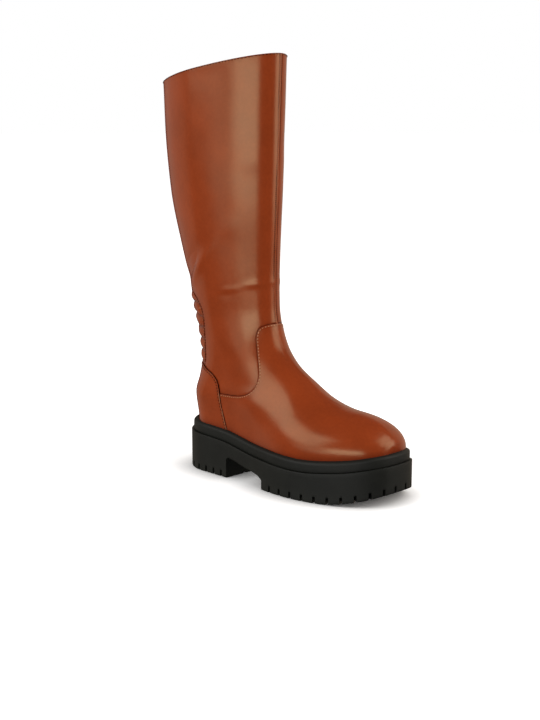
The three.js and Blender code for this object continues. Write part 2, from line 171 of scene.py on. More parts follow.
def tread(x):
    """Height of the tread: flat, then rising as a parabola under the toe."""
    return TOE_SPRING * np.clip((x - FLAT_END) / (SOLE_LENGTH - FLAT_END), 0, 1) ** 2


def sole_side(x, side):
    """The outsole wall's y: a half width, rounded off at heel and toe, plus the toe's swing inwards."""
    half = outer_half(x) if side < 0 else inner_half(x)
    ends = rounding(x, 42, 2.2) * rounding(SOLE_LENGTH - x, 88 if side < 0 else 53, 2.45)
    return side * half * ends + 11 * ease((x - 150) / 120)


def half_outline(side, count=1400):
    """One side of the outline from heel to toe, even along its length, with its inward normals."""
    x = (SOLE_LENGTH / 2) * (1 - np.cos(np.pi * np.linspace(0, 1, count)))
    y = sole_side(x, side)
    run = np.concatenate([[0], np.cumsum(np.hypot(np.diff(x), np.diff(y)))])
    even = np.linspace(0, run[-1], count)
    points = np.column_stack([np.interp(even, run, x), np.interp(even, run, y)])
    tangent = np.gradient(points, axis=0)
    tangent[0], tangent[-1] = (0, side), (0, -side)
    kernel = np.hanning(41)
    for axis in (0, 1):
        padded = np.pad(tangent[:, axis], 20, mode="edge")
        tangent[:, axis] = np.convolve(padded, kernel / kernel.sum(), "valid")
    tangent[0], tangent[-1] = (0, side), (0, -side)
    tangent /= np.hypot(*tangent.T)[:, None]
    inward = np.column_stack([tangent[:, 1], -tangent[:, 0]]) * side
    return points, inward, run[-1]


OUTLINES = {side: half_outline(side) for side in (-1, 1)}


def on_outline(side, t, inset=0.0):
    """The point a fraction t of the way from heel to toe, moved inwards by `inset`."""
    points, inward, _ = OUTLINES[side]
    index = np.asarray(t) * (len(points) - 1)
    grid = np.arange(len(points))
    pick = [np.interp(index, grid, column) for column in (*points.T, *inward.T)]
    return pick[0] + inset * pick[2], pick[1] + inset * pick[3]


def feather(side):
    """The sole's outline where the leather meets it, as y over x."""
    x, y = on_outline(side, np.linspace(0, 1, 700), FEATHER_INSET)
    order = np.argsort(x)
    return lambda at: np.interp(at, x[order], y[order])


FEATHER = {side: feather(side) for side in (-1, 1)}

# ---- Side view of the upper --------------------------------------------------
FEATHER_TOE = 262.5
FRONT_POINTS = (
    (FEATHER_TOE, float(sole_top(FEATHER_TOE)) + SEAT_GAP),
    (263, 58), (260, 65.6), (252.5, 72.6), (241.5, 79), (226, 84), (204, 88), (180, 97.4),
    (157, 113.6), (136, 128.2), (121.5, 143.4), (112.8, 162.5), (109.4, 182), (109, 205), (112, 290),
    (117.5, COLLAR_FRONT),
)
BACK_ROWS = table(
    "z x",
    (50, 6), (60, 3), (70, 1.6), (82, 3.4), (100, 9.6), (118, 12.2), (141, 9.2),
    (165, 2.2), (200, -9.6), (250, -26), (300, -39), (360, -46.5), (COLLAR_FRONT, -49.4),
)
back_at = through(BACK_ROWS, "z", "x")
front_path = path_through(FRONT_POINTS, per_mm=4)
FRONT_X, FRONT_Z = front_path(np.linspace(0, 1, 1800))


def front_share(z):
    """Fraction of the front line's length at which it reaches a height."""
    climbing = np.maximum.accumulate(FRONT_Z)
    return float(np.interp(z, climbing, np.linspace(0, 1, len(climbing))))


def behind_front(x, z):
    """Distance to the front line: the nearest of its samples, then halving steps along it."""
    shape = x.shape
    x, z = x.ravel(), z.ravel()
    coarse = np.linspace(0, 1, 181)
    cx, cz = front_path(coarse)
    share = np.zeros_like(x)
    for chunk in np.array_split(np.arange(len(x)), max(1, len(x) // 20000)):
        gap = (x[chunk, None] - cx) ** 2 + (z[chunk, None] - cz) ** 2
        share[chunk] = coarse[gap.argmin(axis=1)]
    step = coarse[1] / 2

    def gap_at(s):
        fx, fz = front_path(np.clip(s, 0, 1))
        return (x - fx) ** 2 + (z - fz) ** 2

    best = gap_at(share)
    for _ in range(9):
        for move in (-step, step):
            trial = gap_at(share + move)
            better = trial < best
            share = np.where(better, np.clip(share + move, 0, 1), share)
            best = np.where(better, trial, best)
        step /= 2
    return np.sqrt(best).reshape(shape)


RIDGE = (FRONT_Z > 59) & (FRONT_Z < 190)
RIDGE_ORDER = np.argsort(FRONT_X[RIDGE])
RIDGE_X, RIDGE_Z = FRONT_X[RIDGE][RIDGE_ORDER], FRONT_Z[RIDGE][RIDGE_ORDER]

LEG_ROWS = table(
    "z half front back",
    (50, 37, 60, 33),
    (80, 37.5, 60, 34),
    (105, 34, 60, 37),
    (130, 33.5, 60, 42),
    (165, 34.5, 66, 50),
    (210, 37, 76, 58),
    (260, 40.5, 88, 68),
    (320, 44, 100, 78),
    (380, 46, 106, 84),
    (COLLAR_FRONT, 47, 108, 86),
)
leg_half = through(LEG_ROWS, "z", "half")
leg_front = through(LEG_ROWS, "z", "front")
leg_back = through(LEG_ROWS, "z", "back")
FOREFOOT_POWER = 1.85


def middle(x, z):
    """The upper's middle line, which swings to the inner side over the forefoot."""
    over_sole = (FEATHER[-1](x) + FEATHER[1](x)) / 2
    return over_sole * ease((x - 60) / 90) * (1 - ease((z - 100) / 90))


def half_width(x, z, side):
    """Half width at a point of the side view: a rounded leg section, blended into the forefoot's arch."""
    base = sole_top(x)
    edge = np.where(side < 0, FEATHER[-1](x), FEATHER[1](x))
    seat = np.maximum(0, side * (edge - middle(x, base)))
    rise = np.clip((z - base) / np.maximum(1, np.interp(x, RIDGE_X, RIDGE_Z) - base), 0, 1)
    swell = 1 + 0.045 * np.sin(np.pi * np.clip((z - base) / 42, 0, 1))
    foot = seat * swell * (1 - rise**FOREFOOT_POWER) ** (1 / FOREFOOT_POWER)
    low = mix(np.maximum(seat, 10), leg_half(z), ease((z - base) / 62))
    flank = mix(low, leg_half(z), ease((z - 60) / 60))
    leg = flank * rounding(behind_front(x, z), leg_front(z)) * rounding(x - back_at(z), leg_back(z))
    return mix(leg, foot, ease((x - 112) / 55) * (1 - ease((z - 120) / 45)))


def on_surface(x, z, side, share):
    """Points of the boot's outer form. `share` is 0 on the back and front lines, where the width is none."""
    y = middle(x, z) + np.where(share, side * half_width(x, z, side), 0)
    return np.stack([x, y, z], axis=-1)


# ---- Seams in side view ------------------------------------------------------
VAMP_POINTS = (
    (20, 88), (64, 88.2), (88, 89.3), (103, 92.5), (110.5, 97.5), (115, 104), (116.2, 112),
    (113.5, 121), (107.4, 137), (103, 155), (104.6, 161.2), (110, 164.6),
)
COUNTER_TOP_POINTS = ((12.2, 117.4), (28, 114.5), (40, 110.8), (49.5, 107), (57, 101))
COUNTER_FRONT_POINTS = ((75, 50.5), (71, 62), (67.5, 73), (64.5, 85), (61.5, 94), (57, 101))
GUSSET_PEAK = 193.6
GUSSET_FOOT = 110.5
GUSSET_TOP_POINTS = ((-8, GUSSET_PEAK), (0, 193.2), (10, 191.6), (19, 187.4), (27, 181))
GUSSET_FRONT_POINTS = ((33, 112.4), (33, 130), (33.4, 146), (34, 162), (31.8, 173), (27, 181))


# ---- Panels: grids in side view, carried onto the boot's form ----------------
def straight(a, b):
    """The straight line from a to b, as a function of the fraction of its length."""
    return lambda s: (mix(a[0], b[0], np.asarray(s)), mix(a[1], b[1], np.asarray(s)))


def back_stretch(low, high):
    """The back line between two heights."""
    return lambda s: (back_at(mix(low, high, np.asarray(s))), mix(low, high, np.asarray(s)))


def front_stretch(low, high, tuck=0.0):
    """The front line between two shares of its length. `tuck` lowers its start below the sole's top edge."""

    def line(s):
        x, z = front_path(mix(low, high, np.asarray(s)))
        return x, z - tuck * (1 - ease(np.asarray(s) / 0.03))

    return line


def feather_line(x_start, x_end, tuck):
    """The line where the leather meets the sole, a little below the sole's top edge."""

    def line(s):
        x = mix(x_start, x_end, np.asarray(s))
        return x, sole_top(x) + SEAT_GAP - tuck

    return line


def patch(bottom, top, back, front, s, v, push=0.0):
    """A grid between four edges: the straight blends of opposite edges, added, less the blend of the corners.

    `push` moves its inside forwards, by a bump that is highest at two thirds of s and v and 0 on the edges.
    """
    edges = [np.stack(edge(at), axis=-1) for edge, at in ((bottom, s), (top, s), (back, v), (front, v))]
    low, high, left, right = edges
    across, up = s[None, :, None], v[:, None, None]
    corners = mix(mix(low[0], low[-1], across), mix(high[0], high[-1], across), up)
    grid = mix(low[None], high[None], up) + mix(left[:, None], right[:, None], across) - corners
    hump = (across**2 * (1 - across) * up**2 * (1 - up))[..., 0] * (27 / 4) ** 2
    return grid[..., 0] + push * hump, grid[..., 1]


def both_ends(count):
    """Fractions from 0 to 1, crowded at both ends as the cosine does."""
    return (1 - np.cos(np.pi * np.arange(count + 1) / count)) / 2


def crowded(count, near_zero=(), near_one=()):
    """Even fractions, with extra ones at given distances from either end."""
    extra = np.concatenate([[0, 1], near_zero, 1 - np.array(near_one, float)])
    even = np.linspace(0, 1, count + 1)
    low = max(near_zero, default=0) + 0.4 / count
    high = 1 - max(near_one, default=0) - 0.4 / count
    return np.unique(np.concatenate([even[(even > low) & (even < high)], extra]))


def unit(vectors):
    return vectors / np.maximum(np.linalg.norm(vectors, axis=-1, keepdims=True), 1e-9)


def run_along(points, axis, from_end=False):
    """Distance run along the grid lines of one axis, from their first or last point."""
    steps = np.linalg.norm(np.diff(points, axis=axis), axis=-1)
    zero = np.zeros_like(np.take(steps, [0], axis=axis))
    if from_end:
        left = np.flip(np.cumsum(np.flip(steps, axis), axis=axis), axis)
        return np.concatenate([left, zero], axis=axis)
    return np.concatenate([zero, np.cumsum(steps, axis=axis)], axis=axis)


class Panel:
    """A piece of the boot's skin: a grid with a row per v, and columns counter-clockwise from above.

    A ring runs from the back along the outer side to the front, and back along the inner side. A strip runs
    from its edge on the inner side across the back line to its edge on the outer side.
    """

    def __init__(self, edges, s, v, ring, push=0.0):
        x, z = patch(*edges, s, v, push)
        inside = np.broadcast_to((s > 0) & ((s < 1) | (not ring)), x.shape)
        outer = on_surface(x, z, -1.0, inside)
        inner = on_surface(x, z, 1.0, inside)
        self.ring = ring
        if ring:
            self.points = np.concatenate([outer, inner[:, -2:0:-1]], axis=1)
            self.side = np.concatenate([-np.ones(len(s)), np.ones(len(s) - 2)])
        else:
            self.points = np.concatenate([inner[:, ::-1], outer[:, 1:]], axis=1)
            self.side = np.concatenate([np.ones(len(s)), -np.ones(len(s) - 1)])
        self.x, self.z = self.points[..., 0], self.points[..., 2]
        self.normals = grid_normals(self.points, ring)

    def offset(self, height):
        """The grid moved out by a height in millimetres, a number or an array over the grid."""
        return self.points + self.normals * np.asarray(height)[..., None]

    def from_top(self):
        return run_along(self.points, 0, from_end=True)

    def from_ends(self):
        """Distance from the nearer of a strip's two front edges."""
        return np.minimum(run_along(self.points, 1), run_along(self.points, 1, from_end=True))


def grid_normals(points, ring):
    """Cross product of the differences along the rows and up the columns."""
    if ring:
        along = np.roll(points, -1, axis=1) - np.roll(points, 1, axis=1)
    else:
        along = np.gradient(points, axis=1)
    return unit(np.cross(along, np.gradient(points, axis=0)))


def beyond(x, z, path, count=400):
    """Distance in side view from each point to a path, positive to the right of its direction."""
    line = np.stack(path(np.linspace(0, 1, count)), axis=-1)
    ahead = unit(np.gradient(line, axis=0))
    flat = np.stack([x.ravel(), z.ravel()], axis=-1)
    out = np.empty(len(flat))
    for chunk in np.array_split(np.arange(len(flat)), max(1, len(flat) // 4000)):
        gap = flat[chunk, None] - line[None]
        near = (gap**2).sum(axis=-1).argmin(axis=1)
        step = gap[np.arange(len(chunk)), near]
        right = step[:, 0] * ahead[near, 1] - step[:, 1] * ahead[near, 0]
        out[chunk] = np.hypot(*step.T) * np.sign(right)
    return out.reshape(x.shape)


# ---- Meshes ------------------------------------------------------------------
def place(points):
    """Millimetres from the back of the sole to metres from the middle of the heel."""
    return (np.asarray(points, float).reshape(-1, 3) - (HEEL_CENTRE, 0, 0)) * MM


def new_object(name, data):
    item = bpy.data.objects.new(name, data)
    bpy.context.scene.collection.objects.link(item)
    return item


def new_piece(name, parts, material, replaces=(), attributes=None, sharp=50, weld=0.0):
    """A mesh object from points in millimetres and faces, with its body and material."""
    points, faces = joined(parts)
    mesh = bpy.data.meshes.new(name)
    mesh.from_pydata(place(points), [], faces)
    for label, values in (attributes or {}).items():
        layer = mesh.attributes.new(label, "FLOAT", "POINT")
        layer.data.foreach_set("value", np.asarray(values, np.float32).ravel())
    if weld:
        work = bmesh.new()
        work.from_mesh(mesh)
        bmesh.ops.remove_doubles(work, verts=work.verts, dist=weld * MM)
        bmesh.ops.dissolve_degenerate(work, edges=work.edges, dist=weld * MM / 2)
        work.to_mesh(mesh)
        work.free()
    mesh.validate()
    mesh.polygons.foreach_set("use_smooth", np.ones(len(mesh.polygons), bool))
    mesh.set_sharp_from_angle(angle=np.radians(sharp))
    mesh.materials.append(material)
    piece = new_object(name, mesh)
    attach(piece, "root")
    if replaces:
        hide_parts(*replaces)


def joined(parts):
    """Several meshes' points and faces as one."""
    points, faces, start = [], [], 0
    for part_points, part_faces in parts:
        points.append(np.asarray(part_points).reshape(-1, 3))
        faces += [[corner + start for corner in face] for face in part_faces]
        start += len(points[-1])
    return np.concatenate(points), faces


def quads(rows, columns, ring):
    """Faces of a grid, along the columns and then up the rows."""
    index = np.arange(rows * columns).reshape(rows, columns)
    if ring:
        index = np.concatenate([index, index[:, :1]], axis=1)
    corners = (index[:-1, :-1], index[:-1, 1:], index[1:, 1:], index[1:, :-1])
    return np.stack(corners, axis=-1).reshape(-1, 4)


def shell(outer, inner, ring):
    """A closed skin: the outer grid, the inner grid turned inside out, and the rims between them."""
    rows, columns = outer.shape[:2]
    count = rows * columns
    index = np.arange(count).reshape(rows, columns)
    faces = [quads(rows, columns, ring), quads(rows, columns, ring)[:, ::-1] + count]
    rims = [(index[0], True), (index[-1], False)]
    if not ring:
        rims += [(index[:, 0], False), (index[:, -1], True)]
    for rim, turned in rims:
        rim = np.append(rim, rim[0]) if ring else rim
        strip = np.column_stack([rim[:-1], rim[1:], rim[1:] + count, rim[:-1] + count])
        faces.append(strip if turned else strip[:, ::-1])
    return np.concatenate([outer.reshape(-1, 3), inner.reshape(-1, 3)]), np.concatenate(faces).tolist()


def ahead_along(rail, closed=False):
    """The direction of a rail at each point, from its two neighbours."""
    return np.roll(rail, -1, axis=0) - np.roll(rail, 1, axis=0) if closed else np.gradient(rail, axis=0)


def tube(rail, normals, radius, around=8):
    """An open rail's tube: a ring of points across it at each of its points, closed by a face at each end."""
    tangent = unit(ahead_along(rail))
    side = unit(np.cross(tangent, normals))
    lift = np.cross(side, tangent)
    turn = 2 * np.pi * np.arange(around) / around
    rings = (
        rail[:, None]
        + radius * np.cos(turn)[None, :, None] * side[:, None]
        + radius * np.sin(turn)[None, :, None] * lift[:, None]
    )
    first, last = np.arange(around), np.arange(around) + (len(rings) - 1) * around
    return rings, [*quads(len(rings), around, True).tolist(), first[::-1].tolist(), last.tolist()]


# ---- Creases, placed in side view --------------------------------------------
# Each soft fold runs from one point to another. A positive height is a ridge, a negative one a trough.
FOLDS = table(
    "x0 z0 x1 z1 width height",
    (90, 205.0, 110, 208.5, 3.4, 0.65),
    (62, 198.5, 84, 201.5, 2.8, 0.5),
    (58, 193, 78, 195, 4.0, -0.25),
    (52, 243, 12, 199, 6.0, 1.9),
    (36, 243, -4, 203, 8.0, -2.3),
    (88, 330, 112, 333, 9.0, 0.3),
    (58, 128, 92, 124, 9.0, -0.5),
    (60, 262, 86, 268, 12.0, 0.35),
)


def folded(x, z, depth):
    """The sum of the folds: each a bell across its line, fading towards its ends."""
    total = np.zeros_like(x)
    for x0, z0, x1, z1, width, height in zip(*FOLDS.values()):
        length = np.hypot(x1 - x0, z1 - z0)
        ux, uz = (x1 - x0) / length, (z1 - z0) / length
        along = ((x - x0) * ux + (z - z0) * uz) / length
        across = (z - z0) * ux - (x - x0) * uz
        total += height * bump(across, 0, width) * bump(along, 0.5, 0.45)
    return total * depth


def relaxed(x, z, side):
    """A shallow unevenness of soft leather: three long sine waves, different on the two sides."""
    turn = np.where(side < 0, 0.0, 1.7)
    slow = np.sin(z / 31 + x / 47 + turn) * np.sin(x / 29 - z / 83 + 1.3)
    return 0.22 * slow + 0.1 * np.sin(z / 13 + x / 19 + 2 * turn)


# ---- Stitches ----------------------------------------------------------------
STITCH_SIDES = 6
STITCH_BELTS = np.linspace(-1, 1, 7)[1:-1]


def stitch_shape(length, thickness):
    """One stitch along x: belts of radius r sqrt(1 - u^4), for u from -1 to 1, and a point at each end."""
    turn = 2 * np.pi * np.arange(STITCH_SIDES) / STITCH_SIDES
    radius = thickness / 2 * np.sqrt(1 - STITCH_BELTS**4)
    columns = [
        np.repeat(length / 2 * STITCH_BELTS, STITCH_SIDES),
        np.outer(radius, np.cos(turn)).ravel(),
        np.outer(radius, np.sin(turn)).ravel(),
    ]
    points = np.concatenate([[(-length / 2, 0, 0)], np.stack(columns, axis=-1), [(length / 2, 0, 0)]])
    turns = np.arange(STITCH_SIDES)
    ahead = (turns + 1) % STITCH_SIDES
    last_belt = 1 + STITCH_SIDES * (len(STITCH_BELTS) - 1)
    first_tip = np.column_stack([0 * turns, 1 + ahead, 1 + turns])
    last_tip = np.column_stack([0 * turns + last_belt + STITCH_SIDES, last_belt + turns, last_belt + ahead])
    return points, quads(len(STITCH_BELTS), STITCH_SIDES, True) + 1, np.concatenate([first_tip, last_tip])


def stitches_along(rail, normals, sizes, scale=1.0):
    """Thread stitches end to end along a rail, half sunk into the leather."""
    length, pitch = sizes.stitch_length * scale / MM, sizes.stitch_pitch * scale / MM
    run = run_along(rail[None], 1)[0]
    count = max(2, int(run[-1] / pitch))
    at = (np.arange(count) + 0.5) * run[-1] / count

    def pick(values, where):
        return np.column_stack([np.interp(where, run, values[:, k]) for k in range(3)])

    tangent = unit(pick(rail, at + length / 2) - pick(rail, at - length / 2))
    side = unit(np.cross(pick(normals, at), tangent))
    frames = np.stack([tangent, side, np.cross(tangent, side)], axis=1)
    local, body, tips = stitch_shape(length, sizes.thread_thickness / MM)
    points = pick(rail, at)[:, None] + np.einsum("pk,nkc->npc", local, frames)
    starts = np.arange(count)[:, None, None] * len(local)
    return points, [*(body + starts).reshape(-1, 4).tolist(), *(tips + starts).reshape(-1, 3).tolist()]


def beside(rail, normals, inset, lift, closed=False):
    """A rail moved in its surface to the left of its direction, and out along its normals."""
    return rail + unit(np.cross(normals, unit(ahead_along(rail, closed)))) * inset + normals * lift


# ---- Leather panels ----------------------------------------------------------
LEATHER = 1.35
# Thickness of the leather facing inside the collar, and how far down it reaches.
FACING = 0.85
FACING_DEPTH = 11.0
# Thickness of the lining, and how deep the foot's lies.
LINING = 0.6
FOOT_LINING = 3.5
# Heights of the overlays' outer and inner faces, and how deep the leg sinks under them.
VAMP_LIFT = 0.6
VAMP_UNDERSIDE = -1.0
COUNTER_LIFT = 1.5
COUNTER_UNDERSIDE = -0.4
SINK = 1.3
# How far the leather's lower edge is tucked down behind the sole's lip.
TUCK = 0.9
SEAT_BACK = HEEL_TOP + SEAT_GAP
VAMP_BACK = 88.0
VAMP_FRONT = 165.2
# How far forwards the vamp's rows bulge, so that they follow the instep.
VAMP_PUSH = 24.0
SHAFT_FOOT = 82.0
SHAFT_FRONT_FOOT = 122.0
COUNTER_FRONT_END = 75.0
COUNTER_PEAK = 117.4
# Where the puffs begin to rise, the height that the first one is counted from, and the height of them all.
GATHER_START = 114.0
GATHER_FOOT = 117.5
GATHER_RUN = 76.0
# The shin strip lies on a leg of this radius, shifted to the inner side. Its crown rises from sunken sides.
SHIN_RADIUS = 19.0
STRIP_SHIFT = 1.0
STRIP_CROWN = 0.95
STRIP_SINK = 0.35
STRIP_DEPTH = 1.2
# Its top end as a share of the front line, and how far its foot runs under the vamp.
STRIP_END = 0.9985
STRIP_TUCK = 3.0
# Folds on the inner side are this much of the outer side's.
INNER_FOLDS = 0.75
# Where the leather's unevenness starts above the sole, and the heights over which it comes in and goes out.
CALM_FOOT = 55.0
CALM_RISE = 25.0
CALM_COLLAR = 12.0
# Extra grid lines near the edges, as fractions, where the leather's edge is rolled.
VAMP_ROLL = (0.0015, 0.004, 0.0075, 0.012, 0.018, 0.026)
COLLAR_ROLL = (0.0007, 0.0016, 0.0028, 0.0045, 0.0065)
OVERLAY_ROLL = (0.004, 0.009, 0.016, 0.026)
GUSSET_ROLL = (0.002, 0.005, 0.009, 0.014)


def point_at(share):
    return tuple(float(value) for value in front_path(share))


def front_point(z):
    return point_at(front_share(z))


def back_point(z):
    return float(back_at(z)), z


VAMP_TOP = path_through((back_point(VAMP_BACK), *VAMP_POINTS, front_point(VAMP_FRONT)))
COUNTER_TOP = path_through(COUNTER_TOP_POINTS)
COUNTER_FRONT = path_through(COUNTER_FRONT_POINTS)
GUSSET_TOP = path_through((back_point(GUSSET_PEAK), *GUSSET_TOP_POINTS[1:]))
GUSSET_FRONT = path_through(GUSSET_FRONT_POINTS)
GUSSET_EDGE = path_through((*GUSSET_FRONT_POINTS, *GUSSET_TOP_POINTS[-2::-1]))
SHAFT_FOOT_POINTS = ((30, 81.5), (64, 81.5), (95, 84), (112, 93), (127, 107))


def vamp_panel(columns=96):
    edges = (
        feather_line(float(back_at(SEAT_BACK)), FEATHER_TOE, TUCK),
        VAMP_TOP,
        back_stretch(SEAT_BACK - TUCK, VAMP_BACK),
        front_stretch(0, front_share(VAMP_FRONT), TUCK),
    )
    return Panel(edges, both_ends(columns), crowded(70, (), VAMP_ROLL), ring=True, push=VAMP_PUSH)


def shaft_panel(columns=96, rows=None):
    foot = (back_point(SHAFT_FOOT), *SHAFT_FOOT_POINTS, front_point(SHAFT_FRONT_FOOT))
    edges = (
        path_through(foot),
        straight(back_point(COLLAR_BACK), point_at(1.0)),
        back_stretch(SHAFT_FOOT, COLLAR_BACK),
        front_stretch(front_share(SHAFT_FRONT_FOOT), 1.0),
    )
    rows = crowded(200, (), COLLAR_ROLL) if rows is None else rows
    return Panel(edges, both_ends(columns), rows, ring=True)


def counter_panel():
    edges = (
        feather_line(float(back_at(SEAT_BACK)), COUNTER_FRONT_END, TUCK),
        COUNTER_TOP,
        back_stretch(SEAT_BACK - TUCK, COUNTER_PEAK),
        COUNTER_FRONT,
    )
    lines = crowded(60, (), OVERLAY_ROLL)
    return Panel(edges, lines, lines, ring=False)


def gusset_panel():
    edges = (
        straight(back_point(GUSSET_FOOT), GUSSET_FRONT_POINTS[0]),
        GUSSET_TOP,
        back_stretch(GUSSET_FOOT, GUSSET_PEAK),
        GUSSET_FRONT,
    )
    return Panel(edges, crowded(48, (), OVERLAY_ROLL), crowded(170, (), GUSSET_ROLL), ring=False)


def skin_height(panel, sizes):
    """Folds, weaker on the inner side, and an unevenness that fades away at the sole."""
    share = np.where(panel.side < 0, 1.0, INNER_FOLDS)
    fold = folded(panel.x, panel.z, sizes.fold_depth / MM) * share
    return fold + relaxed(panel.x, panel.z, panel.side) * ease((panel.z - CALM_FOOT) / CALM_RISE)


def edge_height(distance, roll, low, lift):
    """From `low` at a cut edge up to `lift`, by a quarter ellipse as wide as the roll."""
    return mix(low, lift, rounding(distance, roll))


def burnish_and_shade(distance, strength, width):
    """Burnish and painted shade that fade away from an edge: strength times exp(-distance / width)."""
    return strength * np.exp(-distance / width)


# Painted shade in the joint just above the sole's lip, darkest at the sole and fading over 3 mm.
def sole_joint_shade(panel):
    return burnish_and_shade(np.maximum(panel.z - sole_top(panel.x), 0), strength=1.0, width=3.0)


def leather_piece(name, outer, inner, ring, shade, material, replaces=()):
    """A leather skin, with the same burnish and painted shade on its two faces."""
    attributes = {"burnish_and_shade": np.tile(shade.ravel(), 2)}
    new_piece(name, [shell(outer, inner, ring)], material, replaces, attributes)


def make_upper(sizes, material):
    panel = vamp_panel()
    edge = panel.from_top()
    height = edge_height(edge, roll=1.3, low=-0.25, lift=VAMP_LIFT) + skin_height(panel, sizes)
    outer, inner = panel.offset(height), panel.offset(VAMP_UNDERSIDE)
    # Burnish along the vamp's top edge, and painted shade in the joint above the sole.
    shade = np.maximum(burnish_and_shade(edge, strength=0.7, width=3.5), sole_joint_shade(panel))
    leather_piece("vamp_and_quarter", outer, inner, True, shade, material, ["upper"])


def overlaps(panel):
    """Distances past the vamp's top edge and past the gusset's edge, positive underneath them."""
    return beyond(panel.x, panel.z, VAMP_TOP), -beyond(panel.x, panel.z, GUSSET_EDGE)


def sunk_under(vamp, gusset):
    """How deep the leg's surface sinks, easing to SINK under the vamp and the gusset."""
    return SINK * np.maximum(ease((vamp + 0.3) / 1.6), ease((gusset + 0.2) / 1.8))


def make_shaft(sizes, material):
    """The leg's surface sinks under the vamp and the gusset, and its top edge is folded over."""
    panel = shaft_panel()
    edge = panel.from_top()
    under = overlaps(panel)
    sunk = sunk_under(*under)
    rolled = edge_height(edge, roll=1.2, low=0.55, lift=0.0)
    facing = FACING * (1 - ease((edge - FACING_DEPTH) / 1.5))
    outer = panel.offset(skin_height(panel, sizes) * ease(edge / CALM_COLLAR) - sunk - rolled)
    inner = panel.offset(rolled - sunk - LEATHER - facing)
    # Painted shadow on the leg beside the vamp's and the gusset's edges, and darker towards the collar's
    # rolled rim.
    shade = burnish_and_shade(np.minimum(*np.abs(under)), strength=0.6, width=3.0)
    shade += burnish_and_shade(edge, strength=0.35, width=2.5)
    leather_piece("leg_shaft", outer, inner, True, shade, material, ["shaft"])


def make_counter(sizes, material):
    panel = counter_panel()
    edge = np.minimum(panel.from_top(), panel.from_ends())
    height = edge_height(edge, roll=1.4, low=0.1, lift=COUNTER_LIFT) + skin_height(panel, sizes)
    outer, inner = panel.offset(height), panel.offset(COUNTER_UNDERSIDE)
    # Burnish along the counter's edges, and painted shade in the joint above the sole.
    shade = np.maximum(burnish_and_shade(edge, strength=0.6, width=2.5), sole_joint_shade(panel))
    leather_piece("heel_counter_cap", outer, inner, False, shade, material, ["heel_counter"])


def make_gusset(sizes, material):
    """Gathers are the absolute value of a sine up the panel: round puffs with sharp valleys.

    They wander a little as they cross the leg, and flatten towards the seams, where fine crinkles begin.
    """
    panel = gusset_panel()
    edge = np.minimum(panel.from_top(), panel.from_ends())
    across = panel.x * panel.side
    wander = 1.1 * np.sin(across / 9.0) + 0.7 * np.sin(across / 3.7 + panel.z / 11)
    turn = sizes.gathers * (panel.z + wander - GATHER_FOOT) / GATHER_RUN
    puff = np.abs(np.sin(np.pi * turn)) ** 0.75
    free = ease(edge / 9.0)
    height = sizes.gather_height / MM * puff * mix(0.3, 1.0, free)
    crinkle = 0.16 * np.sin(panel.z * 2.4 + across * 0.35) * (1 - free)
    crinkle += 0.08 * np.sin(panel.z * 1.3 - across / 2.1)
    puffed = (height + crinkle) * ease((panel.z - GATHER_START) / 4)
    outer = panel.offset(edge_height(edge, roll=1.0, low=-0.5, lift=0.1) + puffed)
    # Painted shade in the valleys between the puffs, added to the burnish at the panel's edges.
    shade = np.clip(1.3 * (1 - puff) ** 1.5 + burnish_and_shade(edge, strength=0.5, width=1.5), 0, 1)
    leather_piece("ruched_gusset", outer, panel.offset(-WALL), False, shade, material, ["back_gusset"])


def shin_rail(low, high, side, across, lift, count=240):
    """A line up the front of the leg, `across` from its middle, where the leg has the radius SHIN_RADIUS."""
    x, z = front_path(np.linspace(front_share(low), high, count))
    y = np.full_like(x, side * across)
    rail = np.column_stack([x - y**2 / (2 * SHIN_RADIUS) + lift, y, z])
    normals = unit(np.column_stack([np.full_like(y, SHIN_RADIUS), y, 0 * y]))
    return rail, normals


def make_shin_strip(sizes, material):
    """The piping over the front seam: a flat strip with rounded sides, a little to the inner side."""
    half = sizes.strip_width / MM / 2
    u = np.sin(np.linspace(-np.pi / 2, np.pi / 2, 15))
    x, z = front_path(np.linspace(front_share(VAMP_FRONT - STRIP_TUCK), STRIP_END, 260))
    y = np.broadcast_to(half * u + STRIP_SHIFT, (len(z), len(u)))
    z = np.broadcast_to(z[:, None], y.shape)
    leg = x[:, None] - y**2 / (2 * SHIN_RADIUS)
    crown = STRIP_CROWN * np.sqrt(np.clip(1 - u**4, 0, 1)) - STRIP_SINK
    outer = np.stack([leg + crown, y, z], axis=-1)
    inner = np.stack([leg - STRIP_DEPTH, y, z], axis=-1)
    # Painted shade at the strip's sunken sides.
    shade = np.broadcast_to(0.5 * np.abs(u) ** 6, y.shape)
    leather_piece("shin_strip", outer, inner, False, shade, material)


def make_lining(material):
    """Textile lining: the leg's from under the collar's facing, and the foot's."""
    leg = shaft_panel(64, crowded(80)[:-3])
    foot = vamp_panel(64)
    depth = sunk_under(*overlaps(leg)) + LEATHER + 0.1
    parts = [
        shell(leg.offset(-depth), leg.offset(-depth - LINING), True),
        shell(foot.offset(-FOOT_LINING), foot.offset(-FOOT_LINING - LINING), True),
    ]
    new_piece("lining", parts, material)


# ---- Seams -------------------------------------------------------------------
def vamp_rail(inset, lift):
    """Along the vamp's top edge, from the counter on the outer side round the front to the inner side."""
    panel = vamp_panel()
    rail, normals = panel.points[-1], panel.normals[-1]
    shown = rail[:, 0] > 60
    return beside(rail, normals, -inset, lift, True)[shown], normals[shown]


def counter_rail(inset, lift):
    """Up the counter's front edge on the inner side, over its top, and down on the outer side."""
    panel = counter_panel()

    def edge(grid):
        return np.concatenate([grid[:-1, 0], grid[-1, :-1], grid[::-1, -1]])

    kernel = np.hanning(9) / np.hanning(9).sum()
    smooth = [np.convolve(np.pad(column, 4, mode="edge"), kernel, "valid") for column in edge(panel.points).T]
    normals = edge(panel.normals)
    return beside(np.column_stack(smooth), normals, -inset, lift), normals


